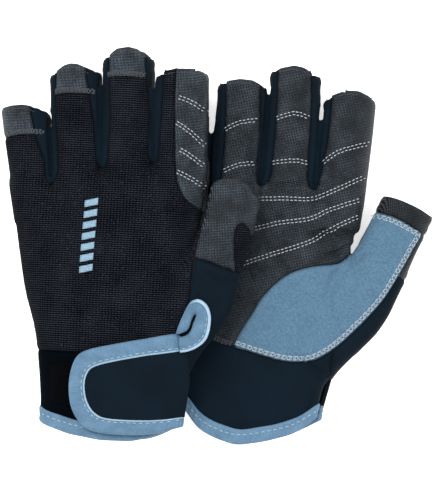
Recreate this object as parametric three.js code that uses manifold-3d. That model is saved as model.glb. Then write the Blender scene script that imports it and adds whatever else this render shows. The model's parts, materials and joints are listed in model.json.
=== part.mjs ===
// A pair of short-finger sailing gloves lying flat: the left glove back up, its radial side resting on the
// right glove, which lies palm up. Millimetres, +Z up, fingers towards +Y, both thumbs towards +X.
import * as THREE from "three";
import { mergeVertices } from "three/addons/utils/BufferGeometryUtils.js";
import Module from "manifold-3d";

const wasm = await Module();
wasm.setup();

// ---- Driving dimensions ----------------------------------------------------------------------------------
const FABRIC = 1.8; // thickness of every panel
const SEAM_GAP = 0.32; // clearance left between two panels that are sewn together
const SIDE_GAP = 0.4; // clearance between the back half and the palm half along the side seams
const BINDING_WIDTH = 7.4; // width of the tape round the hem and the tab
const BINDING_PROUD = 0.7; // how far the hem tape stands out from the panels it covers
const WEB_HALF_WIDTH = 4.6; // half the width of the strip between two fingers
const TIP_PATCH_LENGTH = 13; // leather patch on the back of a fingertip
const ROUNDNESS = 2.5; // exponent of the flattened oval a worn glove takes
const BODY_SIDES = 22; // facets round the hand
const FINGER_SIDES = 16; // facets round a finger or the thumb
const CURVE_STEPS = 2; // points added along each span of a smooth outline
const WELD = 0.06; // vertices closer than this are one
const CUT_HEIGHT = 160; // height of the cutters that trim a panel to its outline
const CUT_WIDTH = 400; // width of the cutter that parts the back from the palm
const CUT_LENGTH = 500; // length of that cutter
const FAR_SIDE = 120; // further to either side than any part of a glove
const FAR_END = 260; // further towards the fingers than any part of a glove
const OPENING_REACH = 8; // how far a cavity runs out past a finger opening
const HEM_REACH = 6; // how far a cavity runs out past the hem
const WEB_THICKNESS = 2.52; // fabric left between the cavity of the hand and the crotch of two fingers
const TIP_OVERRUN = 4; // how far the cutter of a tip patch reaches past the finger opening
const NOSE = 0.8; // length of the point of a fourchette, as a share of its half width
const SQUASH_START = 8; // x where the little-finger side of the hand starts to flatten
const SQUASH_END = -30; // x where it is fully flattened

// The closure is a stack of layers, measured outwards from the face of the cuff.
const LOOP_LAYER = [0.35, 1.15];
const HOOK_LAYER = [1.5, 2.5];
const TAB_LAYER = [2.85, 4.85];
const TAB_BINDING_LAYER = [2.55, 5.15];
const VENT_LAYER = [0.4, 3.6];
const MARK_LAYER = [0.35, 0.75];

const KNIT_EDGE_Y = 41.7; // where the knitted back meets the cuff
const TAB_TOP_Y = 50; // height up the cuff of the tab's upper edge
const TAB_BEND_X = 4; // where the lower edge of a tab starts to follow a rising hem

// Each section of a tube: centre x, y, z, half width, half thickness and heading in degrees from +Y.
const LEFT = {
  prefix: "left_",
  backSign: 1,
  heading: 2.7,
  roll: 10,
  pitch: 1.3,
  ulnarSquash: 1,
  hem: [[-42, 11.5], [-30, 5.6], [-12, 1.4], [6, 0.3], [20, 2.6], [31, 8.4], [40, 15.5]],
  body: [
    [-1, -8, 0, 34.8, 10.2, 0],
    [-1, 15, 0, 34.9, 10.4, 0],
    [-1, 48, 0, 38.6, 11.4, 0],
    [-2.6, 70, 0, 42.2, 12, 0],
    [-4.4, 94, 0, 44.2, 12, 0],
    [-6.2, 114, 0, 46.8, 10.2, -4],
    [-7.2, 129.5, 0, 48.4, 8.6, -8.5],
  ],
  fingers: {
    little: {
      sections: [[-42.6, 106, 0, 9.8, 8.6, -8], [-45.9, 128, 0, 10.4, 8.8, -8], [-49.9, 158, 0, 11, 8.4, -6]],
    },
    ring: {
      sections: [[-21.6, 112, 0, 10.2, 9.2, -3], [-23.5, 138, 0, 10.8, 9.4, -4], [-26.2, 179, 0, 11.7, 9, -3]],
    },
    middle: {
      sections: [[2, 115, 0, 11, 9.4, -1], [1, 145, 0, 11.4, 9.6, -1.5], [-0.5, 188, 0, 11.7, 9.2, -1]],
    },
    index: {
      sections: [[28, 112, 1.8, 11.4, 8.8, 1], [27.4, 145, 2.4, 12, 8.8, -1.5], [26, 180, 2.4, 12.2, 8.8, -1]],
    },
  },
  webs: [
    { name: "little_ring", from: [-34.6, 117.5], to: [-38.7, 192] },
    { name: "ring_middle", from: [-11.4, 127], to: [-13.4, 200] },
    { name: "middle_index", from: [15.1, 130.5], to: [12.6, 200] },
  ],
  thumb: [
    [27, 48, 0.8, 15, 9.6, 36],
    [38, 66, 3.6, 16.5, 9.6, 22],
    [46, 84, 7, 13.8, 9, 9],
    [53, 104, 9.2, 12.6, 8.6, 8],
    [56.6, 127, 9.4, 11.6, 8.2, 6],
  ],
  thumbBase: [[36.4, 60], [35.6, 30], [80, 30], [80, 83], [55.5, 85], [37.4, 89.5]],
  thumbSleeve: [[37.4, 89.5], [55.5, 85], [80, 83], [80, 140], [41.6, 140], [40.6, 108], [38.6, 98]],
  thumbEnd: [[40, 114.5], [54, 117], [80, 110], [80, 140], [41.4, 140]],
  suede: [
    [-13.7, 45.7], [-4, 43.2], [8, 41.8], [20, 43], [30, 49], [42, 61], [50.5, 76], [57.5, 90.5],
    [61.6, 102.2], [63, 112], [54, 116.2], [41.5, 114], [40.8, 106], [38, 97.5], [33.6, 91.6], [17.6, 87.7],
    [6, 82], [-4, 69.5], [-10.6, 56],
  ],
  tabRootX: 34.4,
  tabCurve: 0,
  printed: true,
  place: [-68.4, 0],
};

const RIGHT = {
  prefix: "right_",
  backSign: -1,
  heading: 6.7,
  roll: 3.8,
  pitch: 1.9,
  ulnarSquash: 0.4,
  hem: [[-42, 21], [-33, 11], [-24, 3], [-8, -1], [8, 2.8], [20, 8], [30, 17], [38, 28]],
  body: [
    [-2.2, -9, 0, 32, 9.4, 0],
    [-2, 15, 0, 32.4, 9.6, 0],
    [-2.4, 48, 0, 36.6, 10.6, 0],
    [-4, 70, 0, 39.6, 10.6, 0],
    [-6, 92, 0, 41.6, 10.4, 0],
    [-8, 112, 0, 45.2, 9.8, -2],
    [-9, 125, 0, 46.6, 9, -5],
  ],
  fingers: {
    little: {
      sections: [[-44.4, 102, 0, 9.8, 4.5, -6], [-47.2, 126, 0, 10.4, 4.4, -6], [-50.6, 156, 0, 11, 4.3, -5]],
    },
    ring: {
      sections: [[-22.4, 106, 0, 10, 4.8, -1], [-23.4, 134, 0, 10.6, 5.7, -1.5], [-24.5, 173, 0, 11.6, 6.2, -1]],
    },
    middle: {
      sections: [[3.6, 108, 0, 10.8, 8.4, -1], [2.4, 138, 0, 11.4, 8.6, -3], [0, 182.5, 0, 11.4, 8.4, -3]],
    },
    index: {
      sections: [[27.6, 108, 0, 10.4, 8.8, 0], [28.2, 138, 0, 11, 9, 0], [27.2, 175, 0, 12, 8.8, -1]],
    },
  },
  webs: [
    { name: "little_ring", from: [-34.4, 114.5], to: [-38.6, 190] },
    { name: "ring_middle", from: [-9, 123.5], to: [-12.6, 196] },
    { name: "middle_index", from: [15.6, 125], to: [13, 196] },
  ],
  thumb: [
    [25, 44, 0, 15, 9.4, 38],
    [38, 64, -1, 17.5, 9.6, 29],
    [47, 83, -2, 14.6, 9.2, 18],
    [53.6, 102, -3, 13.4, 8.4, 17],
    [60.4, 121.6, -3.4, 13.2, 8, 14],
  ],
  thumbBase: [[33.6, 60], [33.6, 28], [80, 28], [80, 88], [59, 88.5], [33.6, 94]],
  thumbSleeve: [[33.6, 94], [59, 88.5], [80, 88], [82, 140], [38, 140], [39, 108], [37.4, 99]],
  thumbEnd: [[38, 119], [44.4, 118], [55.8, 116.3], [68.8, 110.5], [78, 105], [84, 140], [38, 140]],
  suede: [
    [-13.7, 45.7], [-4, 43.2], [8, 41.8], [18, 41.6], [26, 43.8], [34, 50.3], [44, 62], [54.2, 76], [61, 90.5],
    [65.8, 102.2], [68.6, 109.6], [55.8, 115.6], [44, 117], [41, 106], [36.6, 97.5], [32.6, 91.6], [17.6, 87.7],
    [6, 82], [-4, 69.5], [-10.6, 56],
  ],
  tabRootX: 30.6,
  tabCurve: 0.0133,
  printed: false,
  place: [0, -1.9],
};

// Outlines on the closure side of the cuff, shared by both gloves.
const TAB_OUTLINE = [
  [36.8, 45.4], [29.3, 51.8], [17.1, 49.7], [3.7, 46.7], [-7.6, 43.8], [-14.4, 40.4], [-17.3, 34], [-18, 26],
  [-16.9, 18], [-13.4, 9.4], [-5.5, 4.8], [9.6, 3.9], [22.7, 5.2], [35.9, 9.6],
];
const TAB_INNER = [
  [36.8, 44], [27.4, 43.8], [17.6, 41.9], [4, 38.6], [-5, 36], [-9, 33], [-10.5, 27], [-9.8, 20],
  [-7, 14.8], [-0.8, 11.9], [13.3, 11.2], [27.4, 12.4], [35.9, 15],
];
const HOOK_OUTLINE = [[-5.9, 15.5], [13.3, 15], [13.3, 34], [-5.9, 32.5]];
const LOOP_OUTLINE = [[-29, 19.6], [-16, 13.4], [14, 12.4], [14, 36], [-29, 37.6]];
const VENT_OUTLINE = [
  [33.2, 55.4], [34.6, 61], [37.4, 66.8], [41.8, 70], [46, 67.2], [47.4, 60], [45.8, 54], [41, 51.6],
];
const VENT_SLIT = [[37, 56], [39.2, 62], [42, 65.4], [43.4, 62], [42.8, 57.6], [39.8, 54.6]];

// Outlines of panels that both gloves share.
const CUFF_BACK = [[-80, -30], [80, -30], [80, KNIT_EDGE_Y], [-80, KNIT_EDGE_Y]];
const CUFF_PALM = [
  [-80, -30], [80, -30], [80, 60], [34, 60], [20, 50], [-10, 50], [-13.7, 46.2], [-28, 49.2], [-80, 52],
];
const INDEX_WRAP = [
  [24.4, 190], [24.8, 166], [25.6, 150], [27, 131], [30, 121], [35, 114.6], [46, 109.5], [48, 190],
];
const MARK_OUTLINE = [[-17.2, 79.5], [-10.6, 79.9], [-9.8, 116.8], [-16.2, 116.4]];

// ---- Materials -------------------------------------------------------------------------------------------
const material = (color, roughness) => new THREE.MeshStandardMaterial({ color, roughness, metalness: 0 });
const KNIT = material(0x15171d, 0.95);
const LEATHER = material(0x24262a, 0.55);
const NEOPRENE = material(0x0f1116, 0.85);
const SUEDE_BLUE = material(0x6b8fae, 0.9);
const TAPE_BLUE = material(0x6f93b4, 0.7);
const HOOK_BLACK = material(0x1a1b1e, 0.8);
const PRINT_BLUE = material(0x7fa3c0, 0.6);

// ---- Solids ----------------------------------------------------------------------------------------------
function solid(geometry, weld = 1e-4) {
  const bare = geometry.clone();
  bare.deleteAttribute("normal");
  bare.deleteAttribute("uv");
  const merged = mergeVertices(bare, weld);
  return new wasm.Manifold(
    new wasm.Mesh({
      numProp: 3,
      vertProperties: merged.attributes.position.array,
      triVerts: new Uint32Array(merged.index.array),
    }),
  );
}

function geometryOf(manifold) {
  const { numProp, vertProperties, triVerts } = manifold.getMesh();
  const count = vertProperties.length / numProp;
  const positions = new Float32Array(count * 3);
  for (let i = 0; i < count; i++) {
    positions.set(vertProperties.subarray(i * numProp, i * numProp + 3), i * 3);
  }
  const geometry = new THREE.BufferGeometry();
  geometry.setAttribute("position", new THREE.BufferAttribute(positions, 3));
  geometry.setIndex(new THREE.BufferAttribute(new Uint32Array(triVerts), 1));
  return geometry;
}

// A cut leaves crumbs and hair-thin bridges; welding close vertices frees the crumbs, and the panel is kept.
function meshOf(name, manifold, look) {
  const bodies = solid(geometryOf(manifold), WELD).decompose();
  const panel = bodies.reduce((best, body) => (body.volume() > best.volume() ? body : best));
  const geometry = geometryOf(panel);
  geometry.computeVertexNormals();
  const mesh = new THREE.Mesh(geometry, look);
  mesh.name = name;
  return mesh;
}

const ovalTerm = (value) => Math.sign(value) * Math.abs(value) ** (2 / ROUNDNESS);

// A tube through its sections: a closed cylinder whose rings are moved to flattened ovals.
function tube(sections, sides, grow, squash = () => 1) {
  const rows = sections.length - 1;
  const geometry = new THREE.CylinderGeometry(1, 1, 1, sides, rows);
  const position = geometry.attributes.position;
  for (let i = 0; i < position.count; i++) {
    const [x, y, z, halfWidth, halfThickness, heading] = sections[Math.round((position.getY(i) + 0.5) * rows)];
    const radius = Math.hypot(position.getX(i), position.getZ(i));
    const turn = Math.atan2(position.getZ(i), position.getX(i));
    const across = radius * ovalTerm(Math.cos(turn)) * (halfWidth + grow);
    const flatness = squash(x + across);
    const up = radius * ovalTerm(Math.sin(turn)) * (halfThickness * flatness + grow);
    const lean = THREE.MathUtils.degToRad(heading);
    position.setXYZ(i, x + across * Math.cos(lean), y - across * Math.sin(lean), z + up);
  }
  return solid(geometry);
}

// The last section carried on past its end, so that a cavity runs out through the opening.
function extended(sections, length) {
  const last = sections.at(-1);
  const lean = THREE.MathUtils.degToRad(last[5]);
  const [x, y, ...rest] = last;
  return [...sections.slice(0, -1), [x + length * Math.sin(lean), y + length * Math.cos(lean), ...rest]];
}

function squashOf(glove) {
  const span = SQUASH_START - SQUASH_END;
  return (x) =>
    THREE.MathUtils.lerp(1, glove.ulnarSquash, THREE.MathUtils.smoothstep(SQUASH_START - x, 0, span));
}

function handSolid(glove, grow, reach) {
  const squash = squashOf(glove);
  let hand = tube(glove.body, BODY_SIDES, grow, squash);
  for (const { sections } of Object.values(glove.fingers)) {
    hand = hand.add(tube(extended(sections, reach), FINGER_SIDES, grow));
  }
  return hand.add(tube(extended(glove.thumb, reach), FINGER_SIDES, grow));
}

// A cavity inside the panels: the fingers and thumb run out past their openings, the hand past the hem, and
// the hand stops short of the webs between the fingers.
function cavity(glove) {
  const body = glove.body.map((section) => [...section]);
  body[0][1] -= HEM_REACH;
  body.at(-1)[1] -= WEB_THICKNESS;
  return handSolid({ ...glove, body }, -FABRIC, OPENING_REACH);
}

// ---- Outlines --------------------------------------------------------------------------------------------
const points = (pairs) => pairs.map(([x, y]) => new THREE.Vector2(x, y));

function smoothOutline(pairs) {
  const curve = new THREE.SplineCurve(points([...pairs, pairs[0]]));
  return curve.getPoints(pairs.length * CURVE_STEPS).slice(0, -1);
}

// Moves a closed outline inwards by a distance, or outwards when the distance is negative.
function inset(outline, distance) {
  const facing = THREE.ShapeUtils.isClockWise(outline) ? -1 : 1;
  const count = outline.length;
  return outline.map((point, i) => {
    const before = outline[(i + count - 1) % count];
    const after = outline[(i + 1) % count];
    const incoming = point.clone().sub(before).normalize();
    const outgoing = after.clone().sub(point).normalize();
    const along = incoming.add(outgoing).normalize();
    return new THREE.Vector2(
      point.x - along.y * distance * facing,
      point.y + along.x * distance * facing,
    );
  });
}

function prism(outline) {
  const geometry = new THREE.ExtrudeGeometry(new THREE.Shape(outline), {
    depth: CUT_HEIGHT,
    bevelEnabled: false,
  });
  geometry.translate(0, 0, -CUT_HEIGHT / 2);
  return solid(geometry);
}

// One side of the mid-plane between the back and the palm, starting a given distance off it.
function halfSpace(sign, offset) {
  const box = new THREE.BoxGeometry(CUT_WIDTH, CUT_LENGTH, CUT_HEIGHT);
  box.translate(0, 0, sign * (CUT_HEIGHT / 2 + offset));
  return solid(box);
}

// Everything on the finger side of the hem, or of a line a given distance up from it.
function aboveHem(glove, distance) {
  const line = new THREE.SplineCurve(points(glove.hem)).getPoints(glove.hem.length * 2);
  const raised = line.map((point) => new THREE.Vector2(point.x, point.y + distance));
  const corners = points([
    [FAR_SIDE, raised.at(-1).y],
    [FAR_SIDE, FAR_END],
    [-FAR_SIDE, FAR_END],
    [-FAR_SIDE, raised[0].y],
  ]);
  return prism([...raised, ...corners]);
}

function band(from, to, halfWidth) {
  const along = new THREE.Vector2(to[0] - from[0], to[1] - from[1]).normalize();
  const side = new THREE.Vector2(along.y, -along.x).multiplyScalar(halfWidth);
  const start = new THREE.Vector2(...from);
  const end = new THREE.Vector2(...to);
  const nose = start.clone().addScaledVector(along, -halfWidth * NOSE);
  return [
    start.clone().add(side),
    end.clone().add(side),
    end.clone().sub(side),
    start.clone().sub(side),
    nose,
  ];
}

// A box across a finger, from a patch's length below the opening to just past it.
function tipOutline({ sections }) {
  const [x, y, , halfWidth, , heading] = sections.at(-1);
  const lean = THREE.MathUtils.degToRad(heading);
  const corners = [[-1, -TIP_PATCH_LENGTH], [1, -TIP_PATCH_LENGTH], [1, TIP_OVERRUN], [-1, TIP_OVERRUN]];
  return corners.map(([side, along]) => {
    const across = side * (halfWidth + 1);
    return new THREE.Vector2(
      x + across * Math.cos(lean) + along * Math.sin(lean),
      y - across * Math.sin(lean) + along * Math.cos(lean),
    );
  });
}

// ---- One glove -------------------------------------------------------------------------------------------
// Cuts the shell of the hand into the panels that are sewn together. A panel that lies only on one side of
// the hand is taken with that side's sign; a strip that wraps round from one side to the other has none.
function sewnPanels(glove, add) {
  const back = glove.backSign;
  const palm = -back;
  let rest = handSolid(glove, 0, 0)
    .subtract(cavity(glove))
    .intersect(aboveHem(glove, BINDING_WIDTH + SEAM_GAP));

  const take = (name, look, outline, side) => {
    let piece = rest.intersect(prism(inset(outline, SEAM_GAP / 2)));
    let cutter = prism(inset(outline, -SEAM_GAP / 2));
    if (side) {
      piece = piece.intersect(halfSpace(side, SIDE_GAP / 2));
      cutter = cutter.intersect(halfSpace(side, -SIDE_GAP / 2));
    }
    rest = rest.subtract(cutter);
    add(name, piece, look);
  };

  take("thumb_end", LEATHER, points(glove.thumbEnd));
  take("thumb_heel_suede", SUEDE_BLUE, smoothOutline(glove.suede), palm);
  take("thumb_sleeve", LEATHER, points(glove.thumbSleeve));
  take("thumb_base", NEOPRENE, points(glove.thumbBase));
  for (const web of glove.webs) {
    take("fourchette_" + web.name, NEOPRENE, band(web.from, web.to, WEB_HALF_WIDTH));
  }
  for (const finger of ["little", "ring", "middle"]) {
    take("tip_patch_" + finger, LEATHER, tipOutline(glove.fingers[finger]), back);
  }
  take("index_wrap", LEATHER, points(INDEX_WRAP), back);
  take("cuff_back", NEOPRENE, points(CUFF_BACK), back);
  take("cuff_palm", NEOPRENE, points(CUFF_PALM), palm);
  add("back_panel", rest.intersect(halfSpace(back, SIDE_GAP / 2)), KNIT);
  add("palm_panel", rest.intersect(halfSpace(palm, SIDE_GAP / 2)), LEATHER);
}

// An outline on the cuff bent up towards the tab's root, so that its lower edge follows the hem.
function followingHem(outline, glove) {
  return outline.map(([x, y]) => {
    const rise = glove.tabCurve * Math.max(0, x - TAB_BEND_X) ** 2;
    return [x, y + (rise * (TAB_TOP_Y - y)) / TAB_TOP_Y];
  });
}

// The closure: pieces that follow the back of the cuff at their own distance from it.
function closurePieces(glove, add) {
  const back = halfSpace(glove.backSign, SIDE_GAP / 2);
  const layer = ([inner, outer], region) =>
    handSolid(glove, outer, 0).subtract(handSolid(glove, inner, 0)).intersect(back).intersect(region);
  const tabWhole = smoothOutline(followingHem(TAB_OUTLINE, glove));
  const tabCentre = smoothOutline(followingHem(TAB_INNER, glove));
  const root = glove.tabRootX;
  const corners = [[root, -FAR_SIDE], [root, FAR_SIDE], [-FAR_SIDE, FAR_SIDE], [-FAR_SIDE, -FAR_SIDE]];
  const fromRoot = prism(points(corners));

  add("loop_patch", layer(LOOP_LAYER, prism(points(LOOP_OUTLINE))), HOOK_BLACK);
  add("tab_hook", layer(HOOK_LAYER, prism(points(HOOK_OUTLINE))), HOOK_BLACK);
  add("tab", layer(TAB_LAYER, prism(inset(tabCentre, SEAM_GAP / 2)).intersect(fromRoot)), NEOPRENE);
  const tape = prism(tabWhole).subtract(prism(inset(tabCentre, -SEAM_GAP / 2))).intersect(fromRoot);
  add("tab_binding", layer(TAB_BINDING_LAYER, tape), TAPE_BLUE);
  const vent = prism(smoothOutline(VENT_OUTLINE)).subtract(prism(smoothOutline(VENT_SLIT)));
  add("vent_binding", layer(VENT_LAYER, vent), TAPE_BLUE);
}

function hemBinding(glove) {
  const tape = aboveHem(glove, 0).subtract(aboveHem(glove, BINDING_WIDTH));
  return handSolid(glove, BINDING_PROUD, 0)
    .subtract(handSolid(glove, -FABRIC - BINDING_PROUD, 0))
    .intersect(tape);
}

function printedMark(glove) {
  return handSolid(glove, MARK_LAYER[1], 0)
    .subtract(handSolid(glove, MARK_LAYER[0], 0))
    .intersect(halfSpace(glove.backSign, 0))
    .intersect(prism(points(MARK_OUTLINE)));
}

function buildGlove(glove) {
  const group = new THREE.Group();
  const add = (name, manifold, look) => group.add(meshOf(glove.prefix + name, manifold, look));
  sewnPanels(glove, add);
  closurePieces(glove, add);
  add("hem_binding", hemBinding(glove), TAPE_BLUE);
  if (glove.printed) {
    add("printed_mark", printedMark(glove), PRINT_BLUE);
  }
  const [pitch, roll, heading] = [-glove.pitch, -glove.roll, -glove.heading].map(THREE.MathUtils.degToRad);
  group.rotation.set(pitch, roll, heading, "ZYX");
  const box = new THREE.Box3().setFromObject(group, true);
  group.position.set(...glove.place, -box.min.z);
  return group;
}

// ---- The pair --------------------------------------------------------------------------------------------
const pair = new THREE.Group();
pair.add(buildGlove(RIGHT), buildGlove(LEFT));
const extent = new THREE.Box3().setFromObject(pair, true);
const centre = extent.getCenter(new THREE.Vector3());
pair.position.set(-centre.x, -centre.y, -extent.min.z);

export default pair;
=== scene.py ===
import json
import math

import bmesh
import bpy
import numpy as np
from mathutils import Euler, Matrix, Vector, noise
from mathutils.kdtree import KDTree


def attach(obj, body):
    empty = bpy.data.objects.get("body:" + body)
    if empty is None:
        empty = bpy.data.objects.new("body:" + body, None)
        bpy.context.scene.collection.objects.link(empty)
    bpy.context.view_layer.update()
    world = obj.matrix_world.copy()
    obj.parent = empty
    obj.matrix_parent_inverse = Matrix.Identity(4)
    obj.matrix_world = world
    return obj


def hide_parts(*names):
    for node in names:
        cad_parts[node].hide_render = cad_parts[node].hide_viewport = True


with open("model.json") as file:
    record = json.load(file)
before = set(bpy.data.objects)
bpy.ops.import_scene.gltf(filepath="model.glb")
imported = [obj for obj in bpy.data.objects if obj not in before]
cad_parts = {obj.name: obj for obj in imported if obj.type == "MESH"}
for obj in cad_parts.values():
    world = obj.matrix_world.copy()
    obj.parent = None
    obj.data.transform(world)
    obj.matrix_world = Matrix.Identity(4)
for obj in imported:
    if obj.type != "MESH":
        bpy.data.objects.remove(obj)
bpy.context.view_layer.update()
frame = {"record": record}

MM = 0.001
VOXEL, QUICK_VOXEL = 1.05, 1.6
CLOTH_THICKNESS = 1.3
TUBE_STATIONS = 22
PROBE = 0.05
FINGERS_ABOVE = 145
FAR_FROM_SEAM = 9.0

# ---- The two gloves, in the same local millimetres as the CAD model ----------
# Local x runs across the hand towards the thumb, y from the hem to the fingertips, z up from the mid-plane.
# A section is centre x, y, z, half width, half thickness and heading from +y in degrees.
ROUNDNESS = 2.5

LEFT = dict(
    name="left",
    back=1,
    stretch=1.012,
    tab_curve=0.0,
    gussets=[("little", "ring", 116, 150), ("ring", "middle", 124, 171), ("middle", "index", 128, 171)],
    angles=(-1.3, -10.0, -2.7),
    joint="left_tab_hinge",
    hinge=(34.9, 29.0, 10.4),
    squash=1.0,
    body=[
        (-0.3, -8, 0, 34.1, 10.2, 0), (-0.3, 15, 0, 34.2, 10.4, 0), (-0.4, 48, 0, 38, 11.4, 0),
        (-2.7, 70, 0, 42.3, 12, 0), (-5, 94, 0, 44.8, 12, 0), (-6.2, 114, 0, 46.8, 10.2, -4),
        (-7.2, 129.5, 0, 48.4, 8.6, -8.5),
    ],
    fingers=dict(
        little=[
            (-41.6, 106, 0, 9.4, 8.6, -8), (-45.1, 128, 0, 10.8, 8.8, -8), (-49.7, 158, 0, 11.6, 8.4, -6),
        ],
        ring=[
            (-21.6, 112, 0, 11.2, 9.2, -3), (-23.7, 138, 0, 11.9, 9.4, -4), (-26.2, 179, 0, 12.4, 9, -3),
        ],
        middle=[(2, 115, 0, 12, 9.4, -1), (1, 145, 0, 12.3, 9.6, -1.5), (-0.6, 188, 0, 12.3, 9.2, -1)],
        index=[
            (27.6, 112, 1.8, 12.2, 8.8, 1), (27.2, 145, 2.4, 12.6, 8.8, -1.5),
            (26, 180, 2.4, 12.8, 8.8, -1),
        ],
    ),
    thumb=[
        (27, 48, 0.8, 12, 9.6, 36), (38, 66, 3.6, 16.5, 9.6, 22), (46, 84, 7, 13.8, 9, 9),
        (53, 104, 9.2, 12.6, 8.6, 8), (56.6, 127, 9.4, 11.6, 8.2, 6),
    ],
    hem=[(-42, 11.5), (-30, 5.6), (-12, 1.4), (6, 0.3), (20, 2.6), (31, 8.4), (40, 15.5)],
    tips=dict(
        little=[
            (-70, 156.4), (-61.2, 157.7), (-55, 159.2), (-49.6, 159.8), (-45.6, 159.3), (-43.6, 158.3),
            (-40.6, 157.6), (-37.4, 155), (-33, 152),
        ],
        ring=[
            (-42, 173.6), (-38.4, 174.3), (-35.4, 175), (-33.4, 177.2), (-30.6, 179.4), (-27.3, 180.6),
            (-23.6, 180.4), (-20.6, 179.3), (-18.4, 177.9), (-15.4, 177.4), (-12.6, 176.6),
        ],
        middle=[
            (-15.6, 182.6), (-12.4, 183.4), (-10, 184), (-8, 186.2), (-5, 188.5), (0.6, 189.6),
            (5.2, 188.7), (7.8, 186.9), (9.8, 184.9), (12.8, 184.2),
        ],
        index=[
            (11, 173.4), (12.6, 174.6), (17.2, 176.7), (19.4, 178.6), (24.6, 179.8), (33, 180),
            (37.4, 178.8), (42, 176),
        ],
    ),
    thumb_top=[
        (34, 118), (42, 121.5), (45, 125.4), (50, 127.6), (56, 127.9), (61, 126.4), (65.5, 122.4),
        (72, 112),
    ],
    webs=dict(
        little_ring=[
            (-46, 172), (-45.9, 158.9), (-42.9, 145.9), (-38, 133.6), (-36.6, 125.4), (-34, 121.8),
            (-31.6, 124.6), (-30.9, 132), (-33.4, 153.6), (-34.1, 173), (-34.4, 192),
        ],
        ring_middle=[
            (-19.6, 194), (-19.4, 176.2), (-15.1, 154.5), (-13.2, 138), (-12, 132.4), (-9.8, 130.6),
            (-7.6, 132.8), (-6.8, 140.3), (-6.7, 154.9), (-8.8, 183.9), (-9, 200),
        ],
        middle_index=[
            (8.6, 200), (8.8, 184.8), (11.2, 165.5), (12.1, 155.8), (12, 143), (12.8, 136.6), (15, 134.2),
            (17.2, 136.6), (18, 148), (18.6, 177.5), (18.8, 195),
        ],
    ),
    thumb_base=[(36.4, 60), (34.8, 30), (90, 25), (90, 80), (55.5, 84.8), (46, 87.6), (38.2, 90)],
    thumb_sleeve=[
        (38.2, 90), (46, 87.6), (55.5, 84.8), (90, 80), (90, 150), (44.4, 150), (43.2, 118), (41.4, 107),
        (39.8, 98),
    ],
    thumb_end=[
        (38.2, 90), (46, 87.6), (55.5, 84.8), (58.4, 84), (58, 92), (57.8, 101.5), (59, 105.4),
        (61.6, 106.8), (64.5, 104), (68, 99), (90, 94), (90, 150), (44.4, 150), (43.2, 118), (41.4, 107),
        (39.8, 98),
    ],
    suede=[
        (-13.7, 45.7), (-4, 43.2), (8, 41.8), (20, 43), (30, 49), (42, 61), (50.5, 76), (57.5, 90.5),
        (60.6, 102.2), (60, 112), (53, 116.2), (42.5, 114), (40.8, 106), (38, 97.5), (33.6, 91.6),
        (17.6, 87.7), (6, 82), (-4, 69.5), (-10.6, 56),
    ],
    suede_sewn=12,
    tab_root=34.4,
)

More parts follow.
